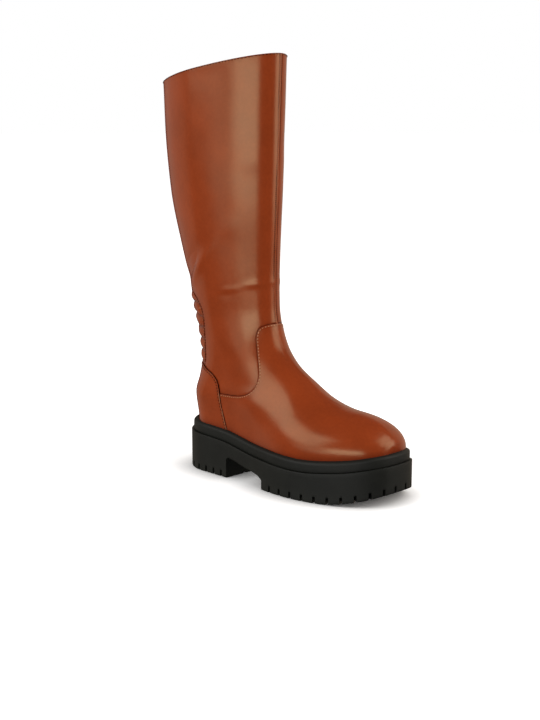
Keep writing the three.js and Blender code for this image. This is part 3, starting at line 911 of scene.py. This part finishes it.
def gusset_rails(inset, lift):
    """The gusset's front edges above the counter, on the inner and the outer side, and its top edge."""
    panel = gusset_panel()
    shown = slice(14, None)
    edges = ((shown, 0), -inset), ((shown, -1), inset), ((-1,), -inset)
    return [
        (beside(panel.points[edge], panel.normals[edge], shift, lift), panel.normals[edge])
        for edge, shift in edges
    ]


def collar_rail(inset, lift):
    panel = shaft_panel(96, crowded(60))
    return beside(panel.points[-1], panel.normals[-1], -inset, lift, True), panel.normals[-1]


def make_seams(sizes, thread, dark_thread, edge_dye_and_seam_shadow):
    """Pale stitches on the vamp and dark ones elsewhere, and dark tubes at the edges of vamp, counter and
    strip: their dyed cut edges and painted shadow in the gap beside them.
    """
    pale = [stitches_along(*vamp_rail(inset=1.7, lift=VAMP_LIFT + 0.12), sizes)]
    dark = [
        stitches_along(*collar_rail(inset=1.0, lift=0.15), sizes, scale=1.1),
        stitches_along(*counter_rail(inset=1.9, lift=COUNTER_LIFT), sizes),
    ]
    dark += [stitches_along(*rail, sizes, scale=0.9) for rail in gusset_rails(inset=-1.4, lift=0.0)]
    half = sizes.strip_width / MM / 2
    for side in (-1, 1):
        across = half + side * STRIP_SHIFT + 0.8
        rail = shin_rail(VAMP_FRONT + 2, 0.997, side, across, lift=-0.05)
        dark.append(stitches_along(*rail, sizes, scale=0.6))
    # Dark tubes at the overlays' edges and beside the strip: dyed cut edges and painted shadow in the gaps.
    edges = [
        tube(*vamp_rail(inset=-0.1, lift=-0.1), radius=0.26),
        tube(*counter_rail(inset=-0.25, lift=0.65), radius=0.42),
        tube(*shin_rail(VAMP_FRONT + 1, 0.998, 1, half + STRIP_SHIFT + 0.1, lift=0.0), radius=0.24),
    ]
    new_piece("seam_stitches", pale, thread)
    new_piece("edge_stitches", dark, dark_thread)
    new_piece("seam_shadow_edges", edges, edge_dye_and_seam_shadow)


# ---- Sole --------------------------------------------------------------------
SLOT_WALL = 0.12
GROOVE_DEPTH = 2.4
# The tread's grooves: the cross ones' pitch along a run of this length, and as shares of the tread's width
# the long ones' half widths and the distance of the outer ones from the middle.
GROOVE_RUN = 325.0
FORE_PITCH = 14.5
LONG_GROOVE_HALF = 0.035
MIDDLE_GROOVE_HALF = 0.06
LONG_GROOVE_AT = 0.28
# The cross grooves' start and width, as shares of their pitch.
CROSS_PHASE = 0.35
CROSS_SHARE = 0.2
# Millimetres by which the wall's upper and lower edges are rounded.
WALL_TOP_ROUND = 0.8
WALL_FOOT_ROUND = 0.9
ARCH_ROWS = table("x z", (80, 19), (83, 22), (108, 17.5), (132, 13), (137, 10))
arch_height = through(ARCH_ROWS, "x", "z")
HEEL_PITCH = 12.0
SLOT_DEPTH = 14.0


def slot_row(first, pitch, count):
    return [first + pitch * index for index in range(count)]


# Middles of the side slots, as distances along each side's outline from the heel.
SLOTS = {
    -1: slot_row(1.2, HEEL_PITCH, 9) + slot_row(176.8, FORE_PITCH, 11),
    1: slot_row(10.8, HEEL_PITCH, 8) + slot_row(183.6, FORE_PITCH, 10),
}


def share_at(x):
    """Fraction of the outer outline's length at which it reaches x."""
    points = OUTLINES[-1][0]
    return float(np.interp(x, points[:, 0], np.linspace(0, 1, len(points))))


BREAST_SHARE = share_at(HEEL_BREAST)
TREAD_SHARE = share_at(TREAD_START)


def sole_shares(half_slot):
    """Where the sole's ribs stand: evenly, and in close pairs at the slots' walls and the arch's faces."""
    pairs = [BREAST_SHARE, TREAD_SHARE]
    for side in (-1, 1):
        for run in SLOTS[side]:
            pairs += [(run - half_slot) / OUTLINES[side][2], (run + half_slot) / OUTLINES[side][2]]
    pairs = np.array([share for share in pairs if 0.002 < share < 0.998])
    close = SLOT_WALL / OUTLINES[-1][2]
    even = np.linspace(0, 1, 190)
    even = even[np.abs(even[:, None] - pairs).min(axis=1) > 3 * close]
    shares = np.sort(np.concatenate([even, pairs - close, pairs + close]))
    return shares[np.concatenate([[True], np.diff(shares) > close / 3])]


def in_slot(t, side, half_slot):
    run = t * OUTLINES[side][2]
    return np.abs(run[:, None] - np.array(SLOTS[side])).min(axis=1) < half_slot


def ribs(shares, profile):
    """Rows along the sole on its two sides, for each (inset, height function) of a profile."""
    sides = []
    for side in (-1, 1):
        rows = []
        for inset, height in profile:
            x, y = on_outline(side, shares, inset)
            rows.append(np.stack([x, y, height(x, side)], axis=-1))
        sides.append(rows)
    return sides


def between(a, b, fractions):
    return [mix(a, b, u) for u in fractions]


def closed_ribs(outer, inner, over, under):
    """A closed loop of rows: down the outer side, under the bottom, up the inner side and over the top."""
    grid = np.stack([*outer, *under, *inner[::-1], *over])
    count, columns = grid.shape[:2]
    index = np.arange(count * columns).reshape(count, columns)
    index = np.concatenate([index, index[:1]])
    corners = (index[:-1, :-1], index[1:, :-1], index[1:, 1:], index[:-1, 1:])
    return grid, np.stack(corners, axis=-1).reshape(-1, 4).tolist()


def rib_solid(shares, profile, over, under):
    """A solid from a profile, bridged at these fractions across its top and its bottom."""
    outer, inner = ribs(shares, profile)
    return closed_ribs(outer, inner, between(inner[0], outer[0], over), between(outer[-1], inner[-1], under))


def below(line, drop):
    """A height function: a line over x, lowered."""
    return lambda x, side: line(x) - drop


def tread_rows(outer, inner, shares, arched, ground):
    """Rows across the tread between its slotted edges, sunk in the long grooves and the cross ones."""
    crossing = ((shares * GROOVE_RUN / FORE_PITCH + CROSS_PHASE) % 1 < CROSS_SHARE) & ~arched
    fractions = np.unique(np.concatenate([np.linspace(0, 1, 26), [0.435, 0.445, 0.555, 0.565]]))[1:-1]
    rows = between(outer, inner, fractions)
    for u, row in zip(fractions, rows):
        off_middle = abs(u - 0.5)
        long = off_middle < MIDDLE_GROOVE_HALF or abs(off_middle - LONG_GROOVE_AT) < LONG_GROOVE_HALF
        row[:, 2] = ground(row[:, 0]) + np.where(~arched & (long | crossing), GROOVE_DEPTH, 0)
    return rows


def make_outsole(sizes, material):
    """A wall with rounded edges, slots up into it from the tread, and the arch between heel and forefoot."""
    half_slot = sizes.slot_width / MM / 2
    shares = sole_shares(half_slot)
    arched = (shares > BREAST_SHARE) & (shares < TREAD_SHARE)
    slots = {
        side: np.where(in_slot(shares, side, half_slot) & ~arched, sizes.slot_height / MM, 0)
        for side in (-1, 1)
    }

    def top(x):
        return sole_top(x) - RAND_HEIGHT

    def ground(x):
        return np.where(arched, arch_height(x), tread(x))

    def slotted(rise):
        """The tread's height near the wall, raised in the slots."""
        return lambda x, side: ground(x) + rise + slots[side]

    def wall(share):
        low = slotted(WALL_FOOT_ROUND)
        return lambda x, side: mix(top(x) - WALL_TOP_ROUND, low(x, side), share)

    profile = [
        (9.0, below(top, 0)),
        (WALL_TOP_ROUND, below(top, 0)),
        (0.35, below(top, 0.08)),
        (0.08, below(top, 0.35)),
        (0, below(top, WALL_TOP_ROUND)),
        *((0, wall(share)) for share in (0.15, 0.35, 0.55, 0.75, 0.9, 1.0)),
        (0.12, slotted(0.42)),
        (0.42, slotted(0.12)),
        *((inset, slotted(0)) for inset in (WALL_FOOT_ROUND, 4.0, 9.0, SLOT_DEPTH - SLOT_WALL)),
        *((inset, below(ground, 0)) for inset in (SLOT_DEPTH + SLOT_WALL, SLOT_DEPTH + 2)),
    ]
    outer, inner = ribs(shares, profile)
    under = tread_rows(outer[-1], inner[-1], shares, arched, ground)
    over = between(inner[0], outer[0], (0.33, 0.67))
    solid = closed_ribs(outer, inner, over, under)
    new_piece("lugged_outsole", [solid], material, ["outsole"], sharp=38, weld=0.02)


# The rand's section from its top's middle to its bottom's middle: a lip round the leather, a rounded
# shoulder, and a wall set in from the outsole's.
RAND_SECTION = table(
    "inset drop",
    (9.5, 1.4), (8.2, 1.4), (7.4, 1.2), (6.9, 0.6), (6.6, 0.15), (6.2, 0), (5.4, 0.3), (4.4, 0.85),
    (3.6, 1.45), (3.0, 2.1), (2.6, 2.9), (2.45, 3.8), (2.4, 5.0), (2.4, 8.0), (2.4, 11.0), (2.5, 11.4),
    (2.9, 11.65), (9.5, 11.7),
)
# The sock's section: a rim that rises towards its edge, and a flat underside. The reach is from its edge
# inwards, and the height is above the leather's lower edge.
SOCK_INSET = FEATHER_INSET + 5.6
SOCK_SECTION = table(
    "reach height", (6, 2.4), (3, 2.6), (1, 2.9), (0.3, 2.7), (0, 2.2), (0, 0.3), (0.4, 0), (6, 0)
)


def make_midsole(material):
    """The sole's upper tier, between the outsole and the leather."""
    profile = [(inset, below(sole_top, drop)) for inset, drop in zip(*RAND_SECTION.values())]
    bridges = (0.25, 0.5, 0.75)
    solid = rib_solid(crowded(240, (0.001,), (0.001,)), profile, bridges, bridges)
    new_piece("rand", [solid], material, ["midsole"], sharp=60, weld=0.02)


def make_insole(material):
    """A sock with a cupped edge, flat in the middle."""
    rows = zip(*SOCK_SECTION.values())
    profile = [(SOCK_INSET + reach, below(sole_top, -SEAT_GAP - height)) for reach, height in rows]
    solid = rib_solid(crowded(120, (0.002,), (0.002,)), profile, (0.2, 0.4, 0.6, 0.8), (0.5,))
    new_piece("sock", [solid], material, ["insole"], sharp=60, weld=0.02)


# ---- Materials ---------------------------------------------------------------
def scaled(colour, share):
    return tuple(channel * share for channel in colour)


class Nodes:
    """Adds nodes to a tree. Inputs go by name, underscores for spaces, and take a value or another socket."""

    def __init__(self, tree):
        self.tree = tree

    def put(self, socket, value):
        if isinstance(value, bpy.types.NodeSocket):
            self.tree.links.new(value, socket)
        else:
            socket.default_value = value

    def feed(self, node, **inputs):
        for name, value in inputs.items():
            self.put(node.inputs[name.replace("_", " ")], value)

    def add(self, kind, settings=(), **inputs):
        node = self.tree.nodes.new(kind)
        for name, value in dict(settings).items():
            setattr(node, name, value)
        self.feed(node, **inputs)
        return node

    def noise(self, where, **inputs):
        return self.add("ShaderNodeTexNoise", Vector=where, **inputs).outputs[0]

    def span(self, value, **inputs):
        """A value carried from one range to another."""
        return self.add("ShaderNodeMapRange", Value=value, **inputs).outputs[0]

    def relief(self, height, strength, distance):
        """The normal over a surface of that height."""
        return self.add("ShaderNodeBump", Height=height, Strength=strength, Distance=distance).outputs[0]

    def math(self, operation, *values):
        node = self.add("ShaderNodeMath", {"operation": operation})
        for socket, value in zip(node.inputs, values):
            self.put(socket, value)
        return node.outputs[0]

    def weighted(self, a, b, share):
        """share of a and the rest of b."""
        return self.math("ADD", self.math("MULTIPLY", a, share), self.math("MULTIPLY", b, 1 - share))

    def shades(self, factor, colour, low, high):
        """A ramp between two shades of a colour, each at (place, brightness)."""
        node = self.add("ShaderNodeValToRGB", Fac=factor)
        for element, (place, share) in zip(node.color_ramp.elements, (low, high)):
            element.position, element.color = place, (*scaled(colour, share), 1)
        return node.outputs["Color"]

    def tinted(self, tone, colour, share):
        """A tone turning into one colour by a share."""
        node = self.add("ShaderNodeMix", {"data_type": "RGBA"}, Factor=share)
        self.put(node.inputs[6], tone)
        self.put(node.inputs[7], (*colour, 1))
        return node.outputs[2]

    def either(self, share, low, high):
        """Two shaders mixed: low where the share is 0, high where it is 1."""
        node = self.add("ShaderNodeMixShader", Fac=share)
        self.put(node.inputs[1], low)
        self.put(node.inputs[2], high)
        return node.outputs[0]


def grain_group():
    """Leather's surface from object position: pores between small cells under fine noise, and two sizes of
    mottling."""
    tree = bpy.data.node_groups.new("leather_grain", "ShaderNodeTree")
    face = tree.interface
    face.new_socket("Position", in_out="INPUT", socket_type="NodeSocketVector").hide_value = True
    face.new_socket("Cells per metre", in_out="INPUT", socket_type="NodeSocketFloat").default_value = 900.0
    face.new_socket("Height", in_out="OUTPUT", socket_type="NodeSocketFloat")
    face.new_socket("Mottle", in_out="OUTPUT", socket_type="NodeSocketFloat")
    make = Nodes(tree)
    source = make.add("NodeGroupInput").outputs
    where = source["Position"]
    moved = make.add("ShaderNodeVectorMath", {"operation": "MULTIPLY_ADD"})
    bend = make.add("ShaderNodeTexNoise", Scale=260.0, Detail=2.0, Vector=where)
    for socket, value in zip(moved.inputs, (bend.outputs["Color"], (0.0016, 0.0016, 0.0016), where)):
        make.put(socket, value)
    cells = make.add("ShaderNodeTexVoronoi", {"feature": "DISTANCE_TO_EDGE"}, Vector=moved.outputs[0])
    make.feed(cells, Scale=source["Cells per metre"])
    plump = make.span(cells.outputs["Distance"], From_Max=0.35)
    fine = make.noise(where, Scale=2400.0, Detail=3.0)
    broad = make.noise(where, Scale=34.0, Detail=5.0)
    small = make.noise(where, Scale=330.0, Detail=3.0)
    height = make.weighted(plump, fine, 0.7)
    make.add("NodeGroupOutput", Height=height, Mottle=make.weighted(broad, small, 0.65))
    return tree


def new_material(name):
    """A material with its node maker, its Principled shader, and object coordinates for its patterns."""
    material = bpy.data.materials.new(name)
    material.use_nodes = True
    material.node_tree.nodes.clear()
    make = Nodes(material.node_tree)
    shader = make.add("ShaderNodeBsdfPrincipled")
    make.add("ShaderNodeOutputMaterial", Surface=shader.outputs[0])
    where = make.add("ShaderNodeTexCoord").outputs["Object"]
    return material, make, shader, where


def leather_material(colours, group):
    """Smooth dyed leather: mottled dye, darker at seams by burnish and painted shade and in the gusset's
    valleys by painted shade, satin, with fine pores.
    """
    material, make, shader, where = new_material("polished_leather")
    grain = make.add("ShaderNodeGroup", {"node_tree": group}, Position=where).outputs
    tone = make.shades(grain["Mottle"], colours.leather, (0.32, 0.86), (0.68, 1.1))
    # This attribute carries burnish and painted shade, and mixes the tone towards the darker colour.
    burnished_and_shaded = make.add("ShaderNodeAttribute", {"attribute_name": "burnish_and_shade"}).outputs["Fac"]
    make.feed(
        shader,
        Base_Color=make.tinted(tone, colours.leather_burnished_and_shaded, make.math("MULTIPLY", burnished_and_shaded, 0.75)),
        Roughness=make.span(grain["Mottle"], To_Min=0.21, To_Max=0.26),
        Normal=make.relief(grain["Height"], strength=0.08, distance=0.0003),
        Specular_IOR_Level=0.5,
        Specular_Tint=(1.0, 0.9, 0.55, 1),
    )
    return material


def thread_material(name, colour):
    """Waxed thread: two-ply twist as a wave, with slight dirt."""
    material, make, shader, where = new_material(name)
    twist = make.add("ShaderNodeTexWave", Scale=900.0, Distortion=2.0, Vector=where)
    make.feed(
        shader,
        Base_Color=make.shades(make.noise(where, Scale=500.0), colour, (0.3, 0.75), (0.7, 1.1)),
        Normal=make.relief(twist.outputs[0], strength=0.4, distance=0.0002),
        Roughness=0.8,
        Specular_IOR_Level=0.05,
    )
    return material


def rubber_material(colours):
    """Moulded rubber: matte, faintly pitted, greyed by scuffs near the ground."""
    material, make, shader, where = new_material("moulded_rubber")
    cloud = make.noise(where, Scale=60.0, Detail=6.0)
    tone = make.shades(cloud, colours.rubber, (0.35, 0.85), (0.7, 1.2))
    height = make.add("ShaderNodeSeparateXYZ", Vector=where).outputs["Z"]
    low = make.span(height, From_Min=0.0, From_Max=0.012, To_Min=1.0, To_Max=0.0)
    speck = make.noise(where, Scale=420.0, Detail=5.0, Roughness=0.7)
    scuffed = make.math("MULTIPLY", low, make.math("MULTIPLY", speck, 0.5))
    make.feed(
        shader,
        Base_Color=make.tinted(tone, scaled(colours.rubber, 2.2), scuffed),
        Normal=make.relief(make.noise(where, Scale=1500.0, Detail=4.0), strength=0.25, distance=0.0003),
        Roughness=make.span(cloud, To_Min=0.5, To_Max=0.66),
        Specular_IOR_Level=0.35,
    )
    return material


def lining_material(colours):
    """Knitted textile: a fine net of loops as crossed waves, with lint."""
    material, make, shader, where = new_material("textile_lining")
    lint = make.noise(where, Scale=700.0, Detail=3.0)
    up = make.add("ShaderNodeTexWave", {"bands_direction": "Z"}, Scale=420.0, Distortion=1.0, Vector=where)
    across = make.add("ShaderNodeTexWave", {"bands_direction": "DIAGONAL"}, Scale=420.0, Vector=where)
    net = make.math("MULTIPLY", up.outputs[0], across.outputs[0])
    make.feed(
        shader,
        Base_Color=make.shades(lint, colours.lining, (0.3, 0.8), (0.7, 1.1)),
        Normal=make.relief(net, strength=0.5, distance=0.0004),
        Roughness=0.9,
    )
    return material


def floor_material():
    """Matte white paper with a barely visible tooth, glowing by its own emission in place of studio light
    falling on it.

    The glow grows with the distance from the boot, and is dimmed in the boot's corners by ambient occlusion:
    a painted contact shadow.
    """
    material, make, shader, where = new_material("pale_floor")
    tooth = make.noise(where, Scale=600.0)
    away = make.add("ShaderNodeVectorMath", {"operation": "LENGTH"}, Vector=where).outputs["Value"]
    smooth = {"interpolation_type": "SMOOTHSTEP"}
    # The glow is weaker near the boot, painting the shadow under it.
    glow = make.add(
        "ShaderNodeMapRange", smooth, Value=away, From_Min=0.15, From_Max=0.32, To_Min=0.68, To_Max=1.0
    )
    contact_shadow_mask = make.add("ShaderNodeAmbientOcclusion", {"samples": 8}, Distance=0.026).outputs["AO"]
    make.feed(
        shader,
        Base_Color=make.shades(tooth, (1.0, 1.0, 1.0), (0.0, 0.93), (1.0, 0.96)),
        Emission_Color=make.math("MULTIPLY", glow.outputs[0], make.math("POWER", contact_shadow_mask, 1.6)),
        Emission_Strength=1.0,
        Roughness=0.9,
        Specular_IOR_Level=0.1,
    )
    return material


def material_named(name, build, *arguments):
    return bpy.data.materials.get(name) or build(*arguments)


def leather(colours):
    group = bpy.data.node_groups.get("leather_grain") or grain_group()
    return material_named("polished_leather", leather_material, colours, group)


def rubber(colours):
    return material_named("moulded_rubber", rubber_material, colours)


def lining(colours):
    return material_named("textile_lining", lining_material, colours)


# ---- Stage -------------------------------------------------------------------
CAMERA_AT = (0.9768, -0.9081, 0.3693)
CAMERA_LOOK = (-0.6968, 0.6922, -0.1864)
CAMERA_LENS = 62.009
CAMERA_SENSOR = 36.0
AIM = Vector((0.04, 0.0, 0.22))
# Soft lights as seen from the boot: bearing from -Y towards +X and elevation in degrees, distance and size in
# metres, radiance, and how much blue their colour has.
LIGHTS = (
    # name, bearing, elevation, distance, width, tall, radiance, blue
    ("left_softbox", -26, 26, 1.9, 1.15, 1.25, 3.0, 0.95),
    ("low_softbox", 19, 2, 1.9, 1.5, 0.55, 4.7, 0.95),
    ("low_softbox_side", -14, -2, 1.9, 0.7, 0.4, 1.3, 1.0),
    ("right_softbox", 112, 34, 1.7, 1.15, 1.2, 2.6, 0.9),
    ("right_low_panel", 123, 5, 1.8, 1.1, 0.75, 2.9, 0.85),
    ("back_panel", 196, 8, 2.4, 4.0, 3.2, 0.5, 0.6),
    ("left_panel", -78, 0, 2.2, 2.2, 2.6, 0.35, 0.7),
)


# The world's strength as the camera sees it, as matte surfaces do, and as gloss mirrors it.
WORLD_SEEN = 1.0
WORLD_MATTE = 0.12
WORLD_GLOSS = 0.05
# Half the floor's width and its level, just under the tread, in metres.
FLOOR_HALF = 40.0
FLOOR_LEVEL = -0.0003


def turned_to(direction):
    return Vector(direction).to_track_quat("-Z", "Y").to_euler()


def add_camera():
    data = bpy.data.cameras.new("camera")
    data.lens = CAMERA_LENS
    data.sensor_width = CAMERA_SENSOR
    camera = new_object("camera", data)
    camera.location = CAMERA_AT
    camera.rotation_euler = turned_to(CAMERA_LOOK)
    bpy.context.scene.camera = camera


def add_light(name, bearing, elevation, distance, width, tall, radiance, blue):
    """An area light facing the boot. Its power is the radiance times pi times its area."""
    data = bpy.data.lights.new(name, "AREA")
    data.shape = "RECTANGLE"
    data.size, data.size_y = width, tall
    data.energy = radiance * np.pi * width * tall
    data.color = (1.0, (1.0 + blue) / 2, blue)
    light = new_object(name, data)
    turn, rise = np.radians(bearing), np.radians(elevation)
    reach = distance * np.cos(rise)
    away = Vector((reach * np.sin(turn), -reach * np.cos(turn), distance * np.sin(rise)))
    light.location = AIM + away
    light.rotation_euler = turned_to(-away)
    light.visible_camera = False


def add_world():
    """White to the eye, a soft light on matte surfaces, and almost nothing to mirror in gloss."""
    world = bpy.data.worlds.new("studio")
    world.use_nodes = True
    world.node_tree.nodes.clear()
    make = Nodes(world.node_tree)
    seen, matte, gloss = [
        make.add("ShaderNodeBackground", Color=(1, 1, 1, 1), Strength=strength).outputs[0]
        for strength in (WORLD_SEEN, WORLD_MATTE, WORLD_GLOSS)
    ]
    ray = make.add("ShaderNodeLightPath").outputs
    unseen = make.either(ray["Is Glossy Ray"], matte, gloss)
    make.add("ShaderNodeOutputWorld", Surface=make.either(ray["Is Camera Ray"], unseen, seen))
    bpy.context.scene.world = world


def add_floor():
    """A wide square under the boot that the leather doesn't mirror or take light from."""
    mesh = bpy.data.meshes.new("floor")
    signs = ((-1, -1), (1, -1), (1, 1), (-1, 1))
    corners = [(FLOOR_HALF * x, FLOOR_HALF * y, FLOOR_LEVEL) for x, y in signs]
    mesh.from_pydata(corners, [], [(0, 1, 2, 3)])
    mesh.materials.append(floor_material())
    floor = new_object("floor", mesh)
    floor.visible_glossy = False
    floor.visible_diffuse = False
    floor.visible_shadow = False


# ---- Settings ----------------------------------------------------------------
def length_property(name, description, millimetres):
    return FloatProperty(name=name, description=description, default=millimetres * MM, min=0.0, unit="LENGTH")


def colour_property(name, description, default):
    return FloatVectorProperty(
        name=name, description=description, default=default, size=3, min=0.0, max=1.0, subtype="COLOR"
    )


class BootSizes(bpy.types.PropertyGroup):
    stitch_length: length_property("Stitch length", "Length of one stitch of thread", 2.0)
    stitch_pitch: length_property("Stitch pitch", "Distance from one stitch to the next", 3.3)
    thread_thickness: length_property("Thread thickness", "Thickness of the thread", 0.85)
    gather_height: length_property("Gather height", "How far the ruched panel's puffs stand out", 2.3)
    gathers: IntProperty(
        name="Gathers", description="Number of puffs up the ruched panel", default=6, min=1, max=14
    )
    fold_depth: length_property("Fold depth", "Depth of the deepest ankle folds", 1.0)
    strip_width: length_property("Shin strip width", "Width of the piping up the front seam", 2.4)
    slot_width: length_property("Slot width", "Width of the slots between the side lugs", 3.0)
    slot_height: length_property("Slot height", "Height of the slots between the side lugs", 6.5)


class BootColours(bpy.types.PropertyGroup):
    leather: colour_property("Leather", "Dye of the leather", (0.345, 0.052, 0.0115))
    # The darker colour that the burnish and the painted shade mix towards.
    leather_burnished_and_shaded: colour_property("Burnished leather", "Leather darkened at seams", (0.13, 0.012, 0.003))
    thread: colour_property("Thread", "Thread of the visible seams", (0.72, 0.34, 0.18))
    dark_thread: colour_property("Dark thread", "Thread at the collar and gusset", (0.06, 0.014, 0.006))
    # Colour of the dark seam tubes: dyed cut edges and painted seam shadow.
    edge_dye_and_seam_shadow: colour_property("Edge dye", "Dye on the cut edges of the leather", (0.03, 0.003, 0.001))
    rubber: colour_property("Rubber", "The sole's rubber", (0.0098, 0.0108, 0.0085))
    lining: colour_property("Lining", "Textile lining and sock", (0.42, 0.28, 0.17))


# ---- Operators ---------------------------------------------------------------
def sizes_of(context):
    return context.scene.boot_sizes


def colours_of(context):
    return context.scene.boot_colours


class BOOT_OT_sole(bpy.types.Operator):
    """Make the lugged outsole and the rand above it"""

    bl_idname = "boot.sole"
    bl_label = "Sole"

    def execute(self, context):
        material = rubber(colours_of(context))
        make_outsole(sizes_of(context), material)
        make_midsole(material)
        return {"FINISHED"}


class BOOT_OT_upper(bpy.types.Operator):
    """Make the vamp and quarter, with the heel counter over them"""

    bl_idname = "boot.upper"
    bl_label = "Vamp, Quarter and Counter"

    def execute(self, context):
        material = leather(colours_of(context))
        make_upper(sizes_of(context), material)
        make_counter(sizes_of(context), material)
        return {"FINISHED"}


class BOOT_OT_shaft(bpy.types.Operator):
    """Make the leg shaft and the strip over its front seam"""

    bl_idname = "boot.shaft"
    bl_label = "Shaft"

    def execute(self, context):
        material = leather(colours_of(context))
        make_shaft(sizes_of(context), material)
        make_shin_strip(sizes_of(context), material)
        return {"FINISHED"}


class BOOT_OT_gusset(bpy.types.Operator):
    """Make the gathered panel behind the ankle"""

    bl_idname = "boot.gusset"
    bl_label = "Ruched Gusset"

    def execute(self, context):
        make_gusset(sizes_of(context), leather(colours_of(context)))
        return {"FINISHED"}


class BOOT_OT_inside(bpy.types.Operator):
    """Make the lining and the sock inside the boot"""

    bl_idname = "boot.inside"
    bl_label = "Lining and Sock"

    def execute(self, context):
        material = lining(colours_of(context))
        make_lining(material)
        make_insole(material)
        return {"FINISHED"}


class BOOT_OT_seams(bpy.types.Operator):
    """Sew the seams: stitches, and the dark tubes beside them, both dyed edges and painted seam shadow"""

    bl_idname = "boot.seams"
    bl_label = "Seams"

    def execute(self, context):
        colours = colours_of(context)
        thread = thread_material("pale_thread", colours.thread)
        dark_thread = thread_material("dark_thread", colours.dark_thread)
        edge_dye_and_seam_shadow = thread_material("edge_dye_and_seam_shadow", colours.edge_dye_and_seam_shadow)
        make_seams(sizes_of(context), thread, dark_thread, edge_dye_and_seam_shadow)
        return {"FINISHED"}


class BOOT_OT_stage(bpy.types.Operator):
    """Set up the camera, lights, world and floor"""

    bl_idname = "boot.stage"
    bl_label = "Stage"

    def execute(self, context):
        add_camera()
        add_world()
        for light in LIGHTS:
            add_light(*light)
        add_floor()
        context.scene.view_settings.view_transform = "Standard"
        return {"FINISHED"}


OPERATORS = (
    BOOT_OT_stage,
    BOOT_OT_sole,
    BOOT_OT_upper,
    BOOT_OT_shaft,
    BOOT_OT_gusset,
    BOOT_OT_inside,
    BOOT_OT_seams,
)


class BOOT_PT_main(bpy.types.Panel):
    """Sizes, colours and steps of the boot"""

    bl_idname = "BOOT_PT_main"
    bl_label = "Knee-high Boot"
    bl_space_type = "VIEW_3D"
    bl_region_type = "UI"
    bl_category = "Boot"

    def draw(self, context):
        for group in (sizes_of(context), colours_of(context)):
            box = self.layout.box()
            for name in group.__annotations__:
                box.prop(group, name)
        column = self.layout.column(align=True)
        for operator in OPERATORS:
            column.operator(operator.bl_idname)


CLASSES = (BootSizes, BootColours, *OPERATORS, BOOT_PT_main)


def register():
    for cls in CLASSES:
        bpy.utils.register_class(cls)
    bpy.types.Scene.boot_sizes = PointerProperty(type=BootSizes)
    bpy.types.Scene.boot_colours = PointerProperty(type=BootColours)


def unregister():
    del bpy.types.Scene.boot_colours
    del bpy.types.Scene.boot_sizes
    for cls in reversed(CLASSES):
        bpy.utils.unregister_class(cls)


def main():
    register()
    bpy.ops.boot.stage()
    bpy.ops.boot.sole()
    bpy.ops.boot.upper()
    bpy.ops.boot.shaft()
    bpy.ops.boot.gusset()
    bpy.ops.boot.inside()
    bpy.ops.boot.seams()


if __name__ == "__main__":
    main()
